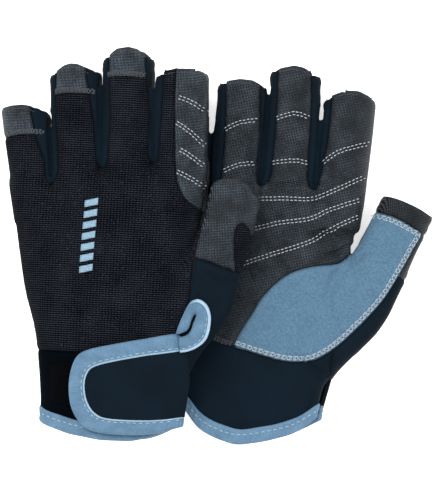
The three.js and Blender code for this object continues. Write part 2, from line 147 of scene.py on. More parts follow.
RIGHT = dict(
    name="right",
    back=-1,
    stretch=1.012,
    tab_curve=0.018,
    gussets=[("little", "ring", 112, 148), ("ring", "middle", 118, 169), ("middle", "index", 120, 160)],
    angles=(-1.9, -3.8, -6.7),
    joint="right_tab_hinge",
    hinge=(31.1, 28.0, -10.4),
    squash=0.4,
    body=[
        (-3.2, -9, 0, 31, 9.4, 0), (-3, 15, 0, 31.4, 9.6, 0), (-3, 48, 0, 36, 10.6, 0),
        (-4, 70, 0, 39.6, 10.6, 0), (-6, 92, 0, 41.6, 10.4, 0), (-8, 112, 0, 45.2, 9.8, -2),
        (-9, 125, 0, 46.6, 9, -5),
    ],
    fingers=dict(
        little=[
            (-44.4, 102, 0, 10, 4.5, -6), (-47.2, 126, 0, 10.6, 4.4, -6), (-50.6, 156, 0, 11.2, 4.3, -5),
        ],
        ring=[
            (-22.4, 106, 0, 11.4, 4.8, -1), (-23.2, 134, 0, 12, 5.7, -1.5),
            (-24.4, 173, 0, 12.2, 6.2, -1),
        ],
        middle=[(3.2, 108, 0, 12.6, 8.4, -1), (2.2, 138, 0, 12.8, 8.6, -3), (0, 182.5, 0, 12.2, 8.4, -3)],
        index=[(27.2, 108, 0, 11.6, 8.8, 0), (28, 138, 0, 12, 9, 0), (27.1, 175, 0, 12.6, 8.8, -1)],
    ),
    thumb=[
        (25, 44, 0, 11, 9.4, 38), (38, 64, -1, 14.8, 9.6, 29), (47, 83, -2, 14.6, 9.2, 18),
        (53.6, 102, -3, 13.4, 8.4, 17), (60.4, 121.6, -3.4, 13.2, 8, 14),
    ],
    hem=[(-42, 21), (-33, 11), (-24, 3), (-8, -1), (8, 2.8), (20, 8), (30, 17), (38, 28)],
    tips=dict(
        little=[
            (-70, 152), (-61, 155), (-54, 157.8), (-47, 158.6), (-42, 158.2), (-38.6, 156), (-36, 150),
        ],
        ring=[
            (-40, 169.4), (-36.2, 171), (-33.6, 171.6), (-31.4, 173.2), (-26, 174.6), (-20, 174.6),
            (-16.4, 173.2), (-14.2, 171.9), (-10, 171.4),
        ],
        middle=[
            (-15, 179.2), (-12.2, 179.8), (-9.8, 180.2), (-7.6, 181.8), (-1, 183.8), (3.6, 183.4),
            (7.2, 181.8), (9.4, 180.2), (14, 179.8),
        ],
        index=[
            (10, 166.6), (13.8, 168.2), (17.4, 169.6), (19.4, 172), (25, 174.6), (31, 175), (36, 173.4),
            (42, 169.6),
        ],
    ),
    thumb_top=[
        (38, 122), (44, 126), (47.6, 126.4), (52, 126.2), (58, 124.9), (66, 122.2), (72, 119.4),
        (80, 116),
    ],
    webs=dict(
        little_ring=[
            (-46.4, 172), (-46, 158), (-43, 146), (-37.8, 131), (-36.4, 121.4), (-33.6, 117.6),
            (-30.8, 121), (-29.6, 130), (-30.5, 149.6), (-32.6, 172.3), (-33, 190),
        ],
        ring_middle=[
            (-16, 192), (-16, 173.8), (-13.9, 151.5), (-13.2, 134.5), (-12.2, 127.4), (-9.4, 124.4),
            (-6.8, 127.4), (-6, 135.3), (-6.7, 157.3), (-8.5, 181), (-9, 196),
        ],
        middle_index=[
            (7.6, 196), (7.6, 182.4), (10.2, 159.3), (11.2, 137.3), (12, 128.8), (14.8, 125.4),
            (17.4, 128.8), (18.1, 138.2), (18.9, 155.4), (18.3, 172.9), (18, 190),
        ],
    ),
    thumb_base=[(33.6, 60), (32.8, 26), (90, 20), (90, 86), (59, 88.5), (45, 92), (33.6, 94)],
    thumb_sleeve=[
        (33.6, 94), (45, 92), (59, 88.5), (90, 86), (90, 150), (47, 150), (43.4, 120), (41.2, 111),
        (39.6, 104.6), (37.4, 99.4),
    ],
    thumb_end=[(43, 119), (46, 118.4), (55.8, 116.3), (68.8, 110.5), (90, 102), (90, 160), (47, 150)],
    suede=[
        (-13.7, 45.9), (-6.7, 44.2), (0.9, 42.7), (10.8, 41.4), (18.1, 41.8), (25.2, 43.6), (34.2, 50.3),
        (44, 61.6), (54.2, 76), (61.2, 90.8), (65.8, 102.2), (68.7, 110.2), (63.5, 113.2), (55.8, 116.2),
        (48.3, 117.7), (43.6, 117.4), (40.6, 106), (36.6, 97.5), (33, 92.5), (29.5, 90.6), (17.6, 87.7),
        (8.3, 83.2), (1.7, 77), (-3.8, 69.5), (-6.5, 63.3), (-11.2, 54),
    ],
    suede_sewn=16,
    tab_root=30.6,
)

INDEX_WRAP = [
    (24.6, 196), (24.6, 180), (24.8, 166), (25.5, 151), (26.9, 131.2), (29.3, 122.5), (34.5, 115.5),
    (46, 110.5), (60, 112), (60, 196),
]
CUFF_BACK = [(-90, -30), (90, -30), (90, 41.7), (-90, 41.7)]
CUFF_PALM = [
    (-90, -30), (90, -30), (90, 60), (34, 60), (20, 50), (-10, 50), (-13.7, 46), (-20, 46.8), (-28, 49.2),
    (-90, 52),
]
TIP_PATCH = 12.6
TAB = [
    (37.8, 53.6), (29.3, 52.7), (17.1, 49.8), (3.7, 46.7), (-7.6, 43.8), (-13.7, 40.8), (-16.7, 35.5),
    (-18, 27), (-17.1, 18), (-14.5, 11.6), (-10.2, 6.6), (-3.6, 4.2), (10.1, 3.6), (22.7, 5), (34.6, 9.4),
]
TAB_INNER = [
    (37.8, 48), (31.6, 45), (25.6, 43.4), (17.6, 41.8), (4, 38.5), (-4.5, 36), (-8.5, 33.4),
    (-10.2, 28.4), (-9.9, 22.6), (-8.3, 17.6), (-5.1, 13.4), (0.7, 11), (14.4, 10.8), (26.5, 12),
    (35, 14.4),
]
# Stations along the loop of tape: its outer edge, then its inner edge at the fold.
LOOP = [
    (31.5, 52.7, 32.5, 52.9), (32, 54.4, 35.1, 53.9), (32.8, 56.9, 37, 55.2), (34.3, 60.9, 38, 57.2),
    (36.5, 65.8, 38.6, 59.5), (38.3, 68.6, 39.3, 61.2), (40.2, 69.7, 39.9, 62.2), (42.1, 70, 40.3, 62.7),
    (44.1, 69.2, 40.7, 62.6), (45.9, 67.5, 40.8, 62), (47, 64.9, 40.4, 61), (47.4, 62, 40.1, 60),
    (47, 59, 39.5, 58.7), (46, 55.6, 39, 56.7), (44.4, 52.6, 38.2, 54.8), (42.1, 50, 37.2, 53.5),
    (39.3, 47.7, 36.2, 52.7), (36.9, 46.3, 35.3, 52.3), (34.8, 45.4, 34.6, 52), (33.2, 44.8, 33.2, 51.6),
]
MARK = dict(x0=-16.9, y0=79.6, x1=-16.1, y1=116.7, width=6.4, count=7)

PALM_ROWS = [
    [(-30.7, 149.1), (-24.4, 153.2), (-15.8, 155.7)],
    [(-28.9, 129.2), (-22, 133), (-13.9, 134.9)],
    [(-6.7, 157.3), (1.7, 160.7), (9.1, 159.6)],
    [(-6.2, 135.8), (4.3, 138), (10.7, 137.8)],
    [(18, 138.6), (25.5, 144.9), (38.8, 150.4)],
    [(-40, 113), (-24, 116), (-8, 118), (4.1, 119.4), (14.7, 120.6), (23, 124.6), (38.8, 134.4)],
    [(-40, 92), (-26, 97), (-11.1, 102.9), (0.6, 107.2), (14.9, 110.9), (24, 116.3), (38, 123)],
    [(-38, 76), (-24, 80.6), (-10.3, 87.4), (2.3, 93.2), (16.2, 99.8), (22.9, 105), (29.7, 109.7),
     (37.4, 114.5)],
]
WRAP_ROWS = [
    [(26.5, 166.2), (33, 163.8), (39.6, 159.8)],
    [(26, 154), (33, 149.6), (40, 143.4)],
    [(28.4, 141.2), (34, 138), (40.4, 133.2)],
    [(27.4, 130.6), (34, 127.6), (41, 123.4)],
]


# ---- Tubes and the surface of a glove ----------------------------------------
def spline(points, count, closed=False):
    """A smooth line of count points through the given ones."""
    p = np.array(points, float)
    n = len(p)
    t = np.linspace(0, n if closed else n - 1, count, endpoint=not closed)
    i = np.minimum(np.floor(t).astype(int), n - 1 if closed else n - 2)
    f = (t - i)[:, None]
    if closed:
        a, b, c, d = p[(i - 1) % n], p[i % n], p[(i + 1) % n], p[(i + 2) % n]
    else:
        a, b, c, d = p[np.maximum(i - 1, 0)], p[i], p[i + 1], p[np.minimum(i + 2, n - 1)]
    return 0.5 * (2 * b + (c - a) * f + (2 * a - 5 * b + 4 * c - d) * f**2 + (3 * b - a - 3 * c + d) * f**3)


def flattening(x, squash):
    """The share of its thickness that a glove keeps at x: all on the thumb's side, squash at the far side."""
    s = np.clip((8 - x) / 38, 0, 1)
    return 1 + (squash - 1) * s * s * (3 - 2 * s)


class Tube:
    """A flattened tube through its sections, that runs on straight past its last one."""

    def __init__(self, sections, squash=1.0, ends=True):
        s = spline(sections, TUBE_STATIONS)
        self.c, self.w, self.h = s[:, :3], s[:, 3], s[:, 4]
        lean = np.radians(s[:, 5])
        self.f = np.stack([np.sin(lean), np.cos(lean)], 1)
        self.a = np.stack([np.cos(lean), -np.sin(lean)], 1)
        self.squash, self.closed_end = squash, ends

    def at(self, p):
        """Signed distance (about), height of the mid-plane and how far along."""
        away_x, away_y = p[:, None, 0] - self.c[None, :, 0], p[:, None, 1] - self.c[None, :, 1]
        along = away_x * self.f[None, :, 0] + away_y * self.f[None, :, 1]
        k = np.clip((along > 0).sum(1) - 1, 0, len(self.c) - 2)
        row = np.arange(len(p))
        d0, d1 = along[row, k], along[row, k + 1]
        t = d0 / np.maximum(d0 - d1, 1e-6)
        t = np.clip(t, -3, 40)
        tc = np.clip(t, 0, 1)[:, None]
        centre = self.c[k] * (1 - tc) + self.c[k + 1] * tc
        over = np.where(t > 1, d1, np.where(t < 0, d0, 0))[:, None]
        forward = self.f[k] * (1 - tc) + self.f[k + 1] * tc
        centre = centre + np.concatenate([forward * over, np.zeros((len(p), 1))], 1)
        side = self.a[k] * (1 - tc) + self.a[k + 1] * tc
        tc = tc[:, 0]
        w = self.w[k] * (1 - tc) + self.w[k + 1] * tc
        h = self.h[k] * (1 - tc) + self.h[k + 1] * tc
        if self.squash < 1:
            h = h * flattening(p[:, 0], self.squash)
        u = (p[:, 0] - centre[:, 0]) * side[:, 0] + (p[:, 1] - centre[:, 1]) * side[:, 1]
        v = p[:, 2] - centre[:, 2]
        n = ROUNDNESS
        au, av = np.abs(u) / w, np.abs(v) / h
        g = np.maximum((au**n + av**n) ** (1 / n), 1e-3)
        slope = np.sqrt((au ** (n - 1) / w) ** 2 + (av ** (n - 1) / h) ** 2) * g ** (1 - n)
        d = (g - 1) / np.maximum(slope, 0.02)
        d = np.maximum(d, -h)
        d = np.maximum(d, -along[:, 0])
        if self.closed_end:
            past = along[:, -1]
            d = np.where(past > -3, smooth_max(d, past, 3.0), d)
        return d, centre[:, 2], u


def smooth_min(a, b, k):
    """The lesser of two distances, with the corner between them rounded over k."""
    h = np.clip(0.5 + 0.5 * (b - a) / k, 0, 1)
    return b * (1 - h) + a * h - k * h * (1 - h)


def smooth_max(a, b, k):
    """The greater of two distances, rounded the same way."""
    return -smooth_min(-a, -b, k)


class Glove:
    """A glove's surface in its own millimetres, and where it lies in the world."""

    def __init__(self, spec):
        self.spec = spec
        self.name, self.back = spec["name"], spec["back"]
        self.body = Tube(spec["body"], spec["squash"])
        self.fingers = {k: Tube(v, ends=False) for k, v in spec["fingers"].items()}
        self.thumb = Tube(spec["thumb"], ends=False)
        self.gussets = [self.gusset(*g) for g in spec["gussets"]]
        pitch, roll, heading = (math.radians(v) for v in spec["angles"])
        turn = Euler((pitch, roll, heading), "XYZ").to_matrix()
        joints = {j["name"]: j for j in frame["record"]["behaviour"]["joints"]}
        pin = Vector(joints[spec["joint"]]["pos_m"])
        move = pin - turn @ Vector(spec["hinge"]) * MM
        self.matrix = Matrix.Translation(move) @ turn.to_4x4() @ Matrix.Scale(MM, 4)

    def gusset(self, left, right, start, end):
        """The cloth that fills the gap between two fingers, lower than the fingers."""
        rows = []
        for y in np.linspace(start, end, 4):
            a, b = self.fingers[left], self.fingers[right]
            xa = np.interp(y, a.c[:, 1], a.c[:, 0] + a.w)
            xb = np.interp(y, b.c[:, 1], b.c[:, 0] - b.w)
            z = (np.interp(y, a.c[:, 1], a.c[:, 2]) + np.interp(y, b.c[:, 1], b.c[:, 2])) / 2
            thick = min(np.interp(y, a.c[:, 1], a.h), np.interp(y, b.c[:, 1], b.h)) * 0.6
            rows.append(((xa + xb) / 2, y, z, max((xb - xa) / 2, 0) + 2.2, thick, 0))
        return Tube(rows)

    def field(self, p):
        """Distance to the glove's outer surface and the local mid-plane, for points in local millimetres."""
        body, mid_body, _ = self.body.at(p)
        best, mid = None, None
        for tube in self.fingers.values():
            d, m, _ = tube.at(p)
            joined = smooth_min(body, d, 4.0)
            near = np.where(d < body, m, mid_body)
            best, mid = (joined, near) if best is None else (
                np.minimum(best, joined), np.where(joined < best, near, mid))
        for tube in self.gussets:
            best = smooth_min(best, tube.at(p)[0], 1.2)
        d, m, _ = self.thumb.at(p)
        blend = np.clip(0.5 + 0.5 * (best - d) / 12, 0, 1)
        soft = 2.5 + 6.5 * np.clip((94 - p[:, 1]) / 20, 0, 1)
        return smooth_min(best, d, soft), mid * (1 - blend) + m * blend

    def gradient(self, p, field=None):
        """Which way the distance grows fastest at each point."""
        field = field or self.field
        g = np.empty_like(p)
        for i in range(3):
            q = p.copy()
            q[:, i] += PROBE
            r = p.copy()
            r[:, i] -= PROBE
            g[:, i] = (field(q)[0] - field(r)[0]) / (2 * PROBE)
        return g

    def project(self, p, steps):
        """Moves points onto the surface."""
        for _ in range(steps):
            d = self.field(p)[0]
            g = self.gradient(p)
            p = p - g * (np.clip(d, -2, 2) / np.maximum((g * g).sum(1), 0.05))[:, None]
        return p

    def lift(self, xy, side, offset=0.0, field=None):
        """Points on the back (side = self.back) or palm over plan positions, with the normals there."""
        field = field or self.field
        xy = np.asarray(xy, float)
        p = np.concatenate([xy, np.zeros((len(xy), 1))], 1)
        low = field(p)[1]
        high = low + 26.0 * side
        for _ in range(22):
            p[:, 2] = (low + high) / 2
            within = field(p)[0] < 0
            low = np.where(within, p[:, 2], low)
            high = np.where(within, high, p[:, 2])
        g = self.gradient(p, field=field)
        n = g / np.linalg.norm(g, axis=1)[:, None]
        return p + n * offset, n

    def world(self, p):
        """Local millimetres to metres in the frame."""
        m = np.array(self.matrix)
        wide = p * np.array([self.spec["stretch"], 1.0, 1.0])
        return wide @ m[:3, :3].T + m[:3, 3]


def mesh_object(name, verts, faces, smooth=True):
    """A new mesh in the scene."""
    mesh = bpy.data.meshes.new(name)
    mesh.from_pydata([tuple(v) for v in verts], [], faces)
    mesh.validate()
    if smooth:
        mesh.polygons.foreach_set("use_smooth", [True] * len(mesh.polygons))
    obj = bpy.data.objects.new(name, mesh)
    bpy.context.scene.collection.objects.link(obj)
    return obj


def set_cloth(obj, cloth, seam=None):
    """Gives each vertex its place on the cloth and, where it matters, its distance from a seam."""
    places = obj.data.attributes.new("cloth", "FLOAT_VECTOR", "POINT")
    places.data.foreach_set("vector", np.asarray(cloth, np.float32).ravel())
    if seam is not None:
        near = obj.data.attributes.new("seam", "FLOAT", "POINT")
        near.data.foreach_set("value", np.asarray(seam, np.float32))


def loft(sections, sides, grow, extra):
    """A plain closed tube for the remesh: rings of flattened ovals, run on straight by extra."""
    s = spline(sections, 14)
    rings = list(s)
    last = s[-1].copy()
    lean = math.radians(last[5])
    last[0] += extra * math.sin(lean)
    last[1] += extra * math.cos(lean)
    if extra:
        rings.append(last)
    verts, faces = [], []
    for x, y, z, w, h, lean in rings:
        lean = math.radians(lean)
        for k in range(sides):
            t = 2 * math.pi * k / sides
            c, d = math.cos(t), math.sin(t)
            u = math.copysign(abs(c) ** (2 / ROUNDNESS), c) * (w + grow)
            v = math.copysign(abs(d) ** (2 / ROUNDNESS), d) * (h + grow)
            verts.append((x + u * math.cos(lean), y - u * math.sin(lean), z + v))
    for r in range(len(rings) - 1):
        for k in range(sides):
            a, b = r * sides + k, r * sides + (k + 1) % sides
            faces.append((a, b, b + sides, a + sides))
    faces.append(tuple(range(sides))[::-1])
    faces.append(tuple((len(rings) - 1) * sides + k for k in range(sides)))
    return verts, faces


def base_mesh(glove, voxel):
    """An even mesh of quads over the whole glove, fingers running on past their openings."""
    spec = glove.spec
    verts, faces = [], []
    parts = [(spec["body"], 48, -0.5, 0)] + [(s, 28, -1.5, 7) for s in spec["fingers"].values()]
    parts.append((spec["thumb"], 28, -0.5, 7))
    for tube in glove.gussets:
        rows = [(*tube.c[i], tube.w[i] + 0.6, tube.h[i], 0) for i in range(len(tube.w))]
        parts.append((rows, 16, 0.0, 0))
    for sections, sides, grow, extra in parts:
        v, f = loft(sections, sides, grow, extra)
        if sections is spec["body"] and spec["squash"] < 1:
            v = [(x, y, z * flattening(x, spec["squash"])) for x, y, z in v]
        faces += [tuple(i + len(verts) for i in q) for q in f]
        verts += v
    obj = mesh_object("base", verts, faces)
    remesh = obj.modifiers.new("remesh", "REMESH")
    remesh.mode = "VOXEL"
    remesh.voxel_size = voxel
    graph = bpy.context.evaluated_depsgraph_get()
    data = bpy.data.meshes.new_from_object(obj.evaluated_get(graph))
    bpy.data.objects.remove(obj)
    count = len(data.vertices)
    p = np.empty(count * 3)
    data.vertices.foreach_get("co", p)
    quads = [tuple(q.vertices) for q in data.polygons]
    bpy.data.meshes.remove(data)
    return p.reshape(-1, 3), quads


def edges_of(faces):
    """Each edge of a mesh once, as a pair of vertices."""
    pairs = set()
    for q in faces:
        for a, b in zip(q, q[1:] + q[:1]):
            pairs.add((a, b) if a < b else (b, a))
    return np.array(sorted(pairs))


def relax(glove, p, edges, rounds):
    """Spreads the vertices evenly, staying on the surface."""
    for _ in range(rounds):
        total = np.zeros_like(p)
        count = np.zeros(len(p))
        np.add.at(total, edges[:, 0], p[edges[:, 1]])
        np.add.at(total, edges[:, 1], p[edges[:, 0]])
        np.add.at(count, edges[:, 0], 1)
        np.add.at(count, edges[:, 1], 1)
        p = p * 0.4 + 0.6 * total / np.maximum(count, 1)[:, None]
        p = glove.project(p, 1)
    return glove.project(p, 2)


def inside(polygon, xy):
    """Which points are inside a closed outline."""
    x, y = xy[:, 0], xy[:, 1]
    result = np.zeros(len(xy), bool)
    n = len(polygon)
    for i in range(n):
        x0, y0 = polygon[i]
        x1, y1 = polygon[(i + 1) % n]
        if y0 != y1:
            result ^= ((y0 > y) != (y1 > y)) & (x < (x1 - x0) * (y - y0) / (y1 - y0) + x0)
    return result


def densify(line, closed, step):
    """Points along a line at most a step apart."""
    out = []
    n = len(line)
    for i in range(n if closed else n - 1):
        a, b = np.array(line[i]), np.array(line[(i + 1) % n])
        k = max(2, int(np.linalg.norm(b - a) / step))
        out += [a + (b - a) * j / k for j in range(k)]
    return np.array(out)


def fingertip(glove, key):
    """The end of a finger in plan: its centre, the directions along and across it, and its half width."""
    x, y, _, w, _, lean = glove.spec["fingers"][key][-1]
    lean = math.radians(lean)
    along, across = np.array([math.sin(lean), math.cos(lean)]), np.array([math.cos(lean), -math.sin(lean)])
    return np.array([x, y]), along, across, w


def tip_edge(glove, key, stops, up=0.0):
    """A line across a fingertip along the lower edge of its patch, through stops given in half widths."""
    end, along, across, w = fingertip(glove, key)
    return [end + across * w * s - along * (TIP_PATCH + 1.2 * s * s - up) for s in stops]


def tip_outline(glove, key):
    """The leather patch on the back of a fingertip: from its lower edge to past the opening."""
    end, along, across, w = fingertip(glove, key)
    low = tip_edge(glove, key, (-1.2, -0.6, 0, 0.6, 1.2))
    return [tuple(q) for q in low] + [tuple(end + across * w * s + along * 20) for s in (1.2, -1.2)]


def curve(points, closed=False):
    """A smooth outline through the given points."""
    return [tuple(q) for q in spline(points, len(points) * 6, closed)]


def regions(glove):
    """Panels in cutting order: name (None for open space), side (0 for both) and closed outline."""
    s = glove.spec
    hem = curve(s["hem"])
    rows = [(None, 0, [(-120, hem[0][1]), *hem, (120, hem[-1][1]), (120, -60), (-120, -60)])]
    for key, top in s["tips"].items():
        rows.append(((None, key), 0, [*top, (top[-1][0], 230), (top[0][0], 230)]))
    top = curve(s["thumb_top"])
    rows.append(((None, "thumb"), 0, top + [(110, 112), (110, 230), (top[0][0], 230)]))
    palm, back = -glove.back, glove.back
    rows.append(("thumb_end", 0, curve(s["thumb_end"])))
    rows.append(("thumb_heel_suede", palm, curve(s["suede"], closed=True)))
    rows.append(("thumb_sleeve", 0, curve(s["thumb_sleeve"])))
    rows.append(("thumb_base", 0, s["thumb_base"]))
    for key, outline in s["webs"].items():
        rows.append(("fourchette_" + key, 0, curve(outline)))
    for key in ("little", "ring", "middle"):
        rows.append(("tip_patch_" + key, back, tip_outline(glove, key)))
    rows.append(("index_wrap", back, curve(INDEX_WRAP)))
    rows.append(("cuff_back", back, CUFF_BACK))
    rows.append(("cuff_palm", palm, curve(CUFF_PALM)))
    return rows


def owner_of(glove, p):
    """Which finger, or the thumb or the hand, each point belongs to."""
    tubes = dict(glove.fingers, thumb=glove.thumb)
    names = list(tubes)
    d = np.stack([tubes[k].at(p)[0] for k in names])
    return np.array(names)[d.argmin(0)]


def partition(glove, p, quads):
    """A panel name for each quad, None where the glove is open."""
    centre = p[np.array(quads)].mean(1)
    _, mid = glove.field(centre)
    upper = centre[:, 2] > mid
    owner = owner_of(glove, centre)
    names = np.array(["palm_panel"] * len(quads), dtype=object)
    names[upper if glove.back > 0 else ~upper] = "back_panel"
    done = np.zeros(len(quads), bool)
    for name, side, outline in regions(glove):
        hit = inside(outline, centre[:, :2]) & ~done
        if isinstance(name, tuple):
            hit &= owner == name[1]
            if name[1] != "thumb":
                hit &= centre[:, 1] > FINGERS_ABOVE
            name = None
        elif name and name.startswith(("tip_patch", "index_wrap", "fourchette")):
            hit &= owner != "thumb"
            if name.startswith("tip_patch"):
                hit &= owner == name.split("_")[-1]
        if side:
            hit &= upper if side > 0 else ~upper
        names[hit] = name if name else "open"
        done |= hit
    return names


def tree_of(points):
    """A search tree over points, which are rows of x, y and z."""
    tree = KDTree(len(points))
    for i, point in enumerate(points):
        tree.insert(point, i)
    tree.balance()
    return tree


def in_plan(points):
    """Plan points with a height of zero."""
    return np.concatenate([points, np.zeros((len(points), 1))], 1)


def borders(quads, names):
    """Vertices where two panels, or a panel and open space, meet."""
    seen = {}
    mixed = set()
    for q, n in zip(quads, names):
        for v in q:
            if seen.setdefault(v, n) != n:
                mixed.add(v)
    return np.array(sorted(mixed))


def snap(glove, p, quads, names):
    """Pulls the vertices between panels onto the seam lines."""
    mixed = borders(quads, names)
    tree = tree_of(in_plan(np.concatenate([densify(outline, True, 0.3) for _, _, outline in regions(glove)])))
    target = np.full((len(mixed), 2), np.nan)
    for i, v in enumerate(mixed):
        co, _, dist = tree.find((p[v, 0], p[v, 1], 0))
        if dist < 1.3:
            target[i] = co[0], co[1]
    q = p[mixed].copy()
    on_line = ~np.isnan(target[:, 0])
    for _ in range(3):
        q[on_line, :2] = target[on_line] * 0.8 + q[on_line, :2] * 0.2
        _, mid = glove.field(q[~on_line])
        q[~on_line, 2] = mid
        q = glove.project(q, 2)
    out = p.copy()
    out[mixed] = q
    return out, mixed


def seam_distance(p, mixed):
    """How far each vertex is from the nearest seam or opening."""
    tree = tree_of(p[mixed])
    return np.array([tree.find(Vector(v))[2] for v in p])


def folds(glove, p):
    """Soft creases that a worn glove keeps: height along the normal in millimetres."""
    h = np.zeros(len(p))
    seed = 3.0 if glove.name == "left" else 41.0
    for i, v in enumerate(p):
        wide = noise.noise(Vector((v[0] / 26 + seed, v[1] / 20, v[2] / 20)))
        fine = noise.noise(Vector((v[0] / 9 - seed, v[1] / 7, v[2] / 8 + seed)))
        h[i] = 0.55 * wide + 0.22 * fine
    return h


def crease(p, line, width, depth):
    """A groove along a line seen from above, with a low ridge beside it."""
    pts = densify(line, False, 0.6)
    tree = tree_of(in_plan(pts))
    out = np.zeros(len(p))
    near = (p[:, 0] > pts[:, 0].min() - 8) & (p[:, 0] < pts[:, 0].max() + 8)
    near &= (p[:, 1] > pts[:, 1].min() - 8) & (p[:, 1] < pts[:, 1].max() + 8)
    for i in np.nonzero(near)[0]:
        _, k, d = tree.find((p[i, 0], p[i, 1], 0))
        fade = math.sin(math.pi * (k + 1) / (len(pts) + 1)) ** 0.5
        ridge = 0.45 * math.exp(-(((d - 2.2 * width) / width) ** 2))
        out[i] = fade * depth * (-math.exp(-((d / width) ** 2)) + ridge)
    return out


# Each crease: its line in plan, its width and its depth.
PALM_CREASES = [
    ([(-8, 124), (0, 125.6), (9, 127.4), (14, 126)], 1.1, 1.5),
    ([(-6, 121.4), (3, 122.6), (12, 124.2)], 0.9, 1.0),
    ([(14, 101.5), (22, 105.6), (28, 103), (34, 104)], 1.2, 1.5),
    ([(24, 93.5), (30, 96), (36, 100.5)], 1.2, 1.6),
    ([(34, 92), (30, 84), (28, 74), (31, 64)], 1.8, 1.0),
    ([(38, 94), (44, 98), (50, 100)], 1.2, 0.7),
]
BACK_CREASES = [
    ([(-30, 58), (-10, 61), (10, 60), (28, 64)], 2.4, 0.7),
    ([(-36, 70), (-22, 73), (-8, 72)], 2.2, 0.5),
    ([(38, 100), (36, 92), (37, 82), (36, 70)], 2.0, 0.9),
    ([(44, 88), (52, 84), (60, 84)], 1.2, 0.8),
]


def panel_object(glove, name, p, quads, cloth, seam):
    """One sewn panel: its quads of the shared surface, given the cloth's thickness inwards."""
    used = sorted({v for q in quads for v in q})
    index = {v: i for i, v in enumerate(used)}
    faces = [tuple(index[v] for v in q) for q in quads]
    obj = mesh_object(glove.name + "_" + name, glove.world(p[used]), faces)
    set_cloth(obj, cloth[used], seam[used])
    solid = obj.modifiers.new("thickness", "SOLIDIFY")
    solid.thickness = CLOTH_THICKNESS * MM
    solid.offset = -1
    solid.use_even_offset = False
    return obj


def cloth_coordinates(glove, p):
    """Coordinates that run over the cloth, so that weaves keep their pitch on the sides."""
    _, mid = glove.field(p)
    owner = owner_of(glove, p)
    out = np.empty((len(p), 3))
    centre = np.zeros(len(p))
    thick = np.full(len(p), 9.0)
    d_body = glove.body.at(p)[0]
    for key, tube in glove.fingers.items():
        d, m, u = tube.at(p)
        mask = (owner == key) & (d < d_body)
        centre[mask] = (p[:, 0] - u)[mask]
        thick[mask] = tube.h.mean()
    rim = np.clip(1 - np.abs(p[:, 2] - mid) / thick, 0, 1) * thick
    out[:, 0] = p[:, 0] + np.sign(p[:, 0] - centre) * rim * 0.8
    out[:, 1] = p[:, 1]
    out[:, 2] = p[:, 2] - mid
    return out


SLOT_OF = dict(
    back_panel="knit", thumb_heel_suede="blue_suede", printed_mark="blue_print",
    palm_panel="grained_leather", index_wrap="grained_leather",
    thumb_sleeve="grained_leather", thumb_end="grained_leather",
    tab_binding="blue_tape", hem_binding="blue_tape", vent_binding="blue_tape",
    loop_patch="hook_and_loop", tab_hook="hook_and_loop",
)


def slot_of(name):
    """The finish a panel or a piece belongs to."""
    if name.startswith("tip_patch"):
        return "grained_leather"
    return SLOT_OF.get(name, "neoprene")


def build_shell(glove):
    """The sewn panels: one shared surface, cut along the seams, with its creases, as {name: object}."""
    p, quads = base_mesh(glove, VOXEL)
    p = glove.project(p, 4)
    p = relax(glove, p, edges_of(quads), 5)
    names = partition(glove, p, quads)
    p, mixed = snap(glove, p, quads, names)
    g = glove.gradient(p)
    normal = g / np.maximum(np.linalg.norm(g, axis=1), 1e-6)[:, None]
    seam = seam_distance(p, mixed)
    _, mid = glove.field(p)
    top = p[:, 2] > mid
    height = folds(glove, p) * np.clip(seam / 6, 0.25, 1)
    on_palm = ~top if glove.back > 0 else top
    for line, width, depth in PALM_CREASES:
        height += crease(p, line, width, depth) * on_palm
    for line, width, depth in BACK_CREASES:
        height += crease(p, line, width, depth) * ~on_palm
    for tube in glove.gussets:
        line = [tuple(place) for place in tube.c[:, :2]]
        height += crease(p, [line[0], *line, (line[-1][0], line[-1][1] + 6)], 0.9, 1.5)
    height -= 0.42 * np.exp(-((seam / 0.8) ** 2))
    height += 0.18 * np.exp(-(((seam - 2.4) / 1.2) ** 2))
    cloth = cloth_coordinates(glove, p)
    glove.height = height
    glove.tree = tree_of(p)
    p = p + normal * height[:, None]
    pieces = {}
    for name in sorted(set(names) - {"open"}):
        chosen = [q for q, n in zip(quads, names) if n == name]
        obj = panel_object(glove, name, p, chosen, cloth, seam)
        obj.data.materials.append(look_for(glove, name))
        pieces[name] = obj
    return pieces


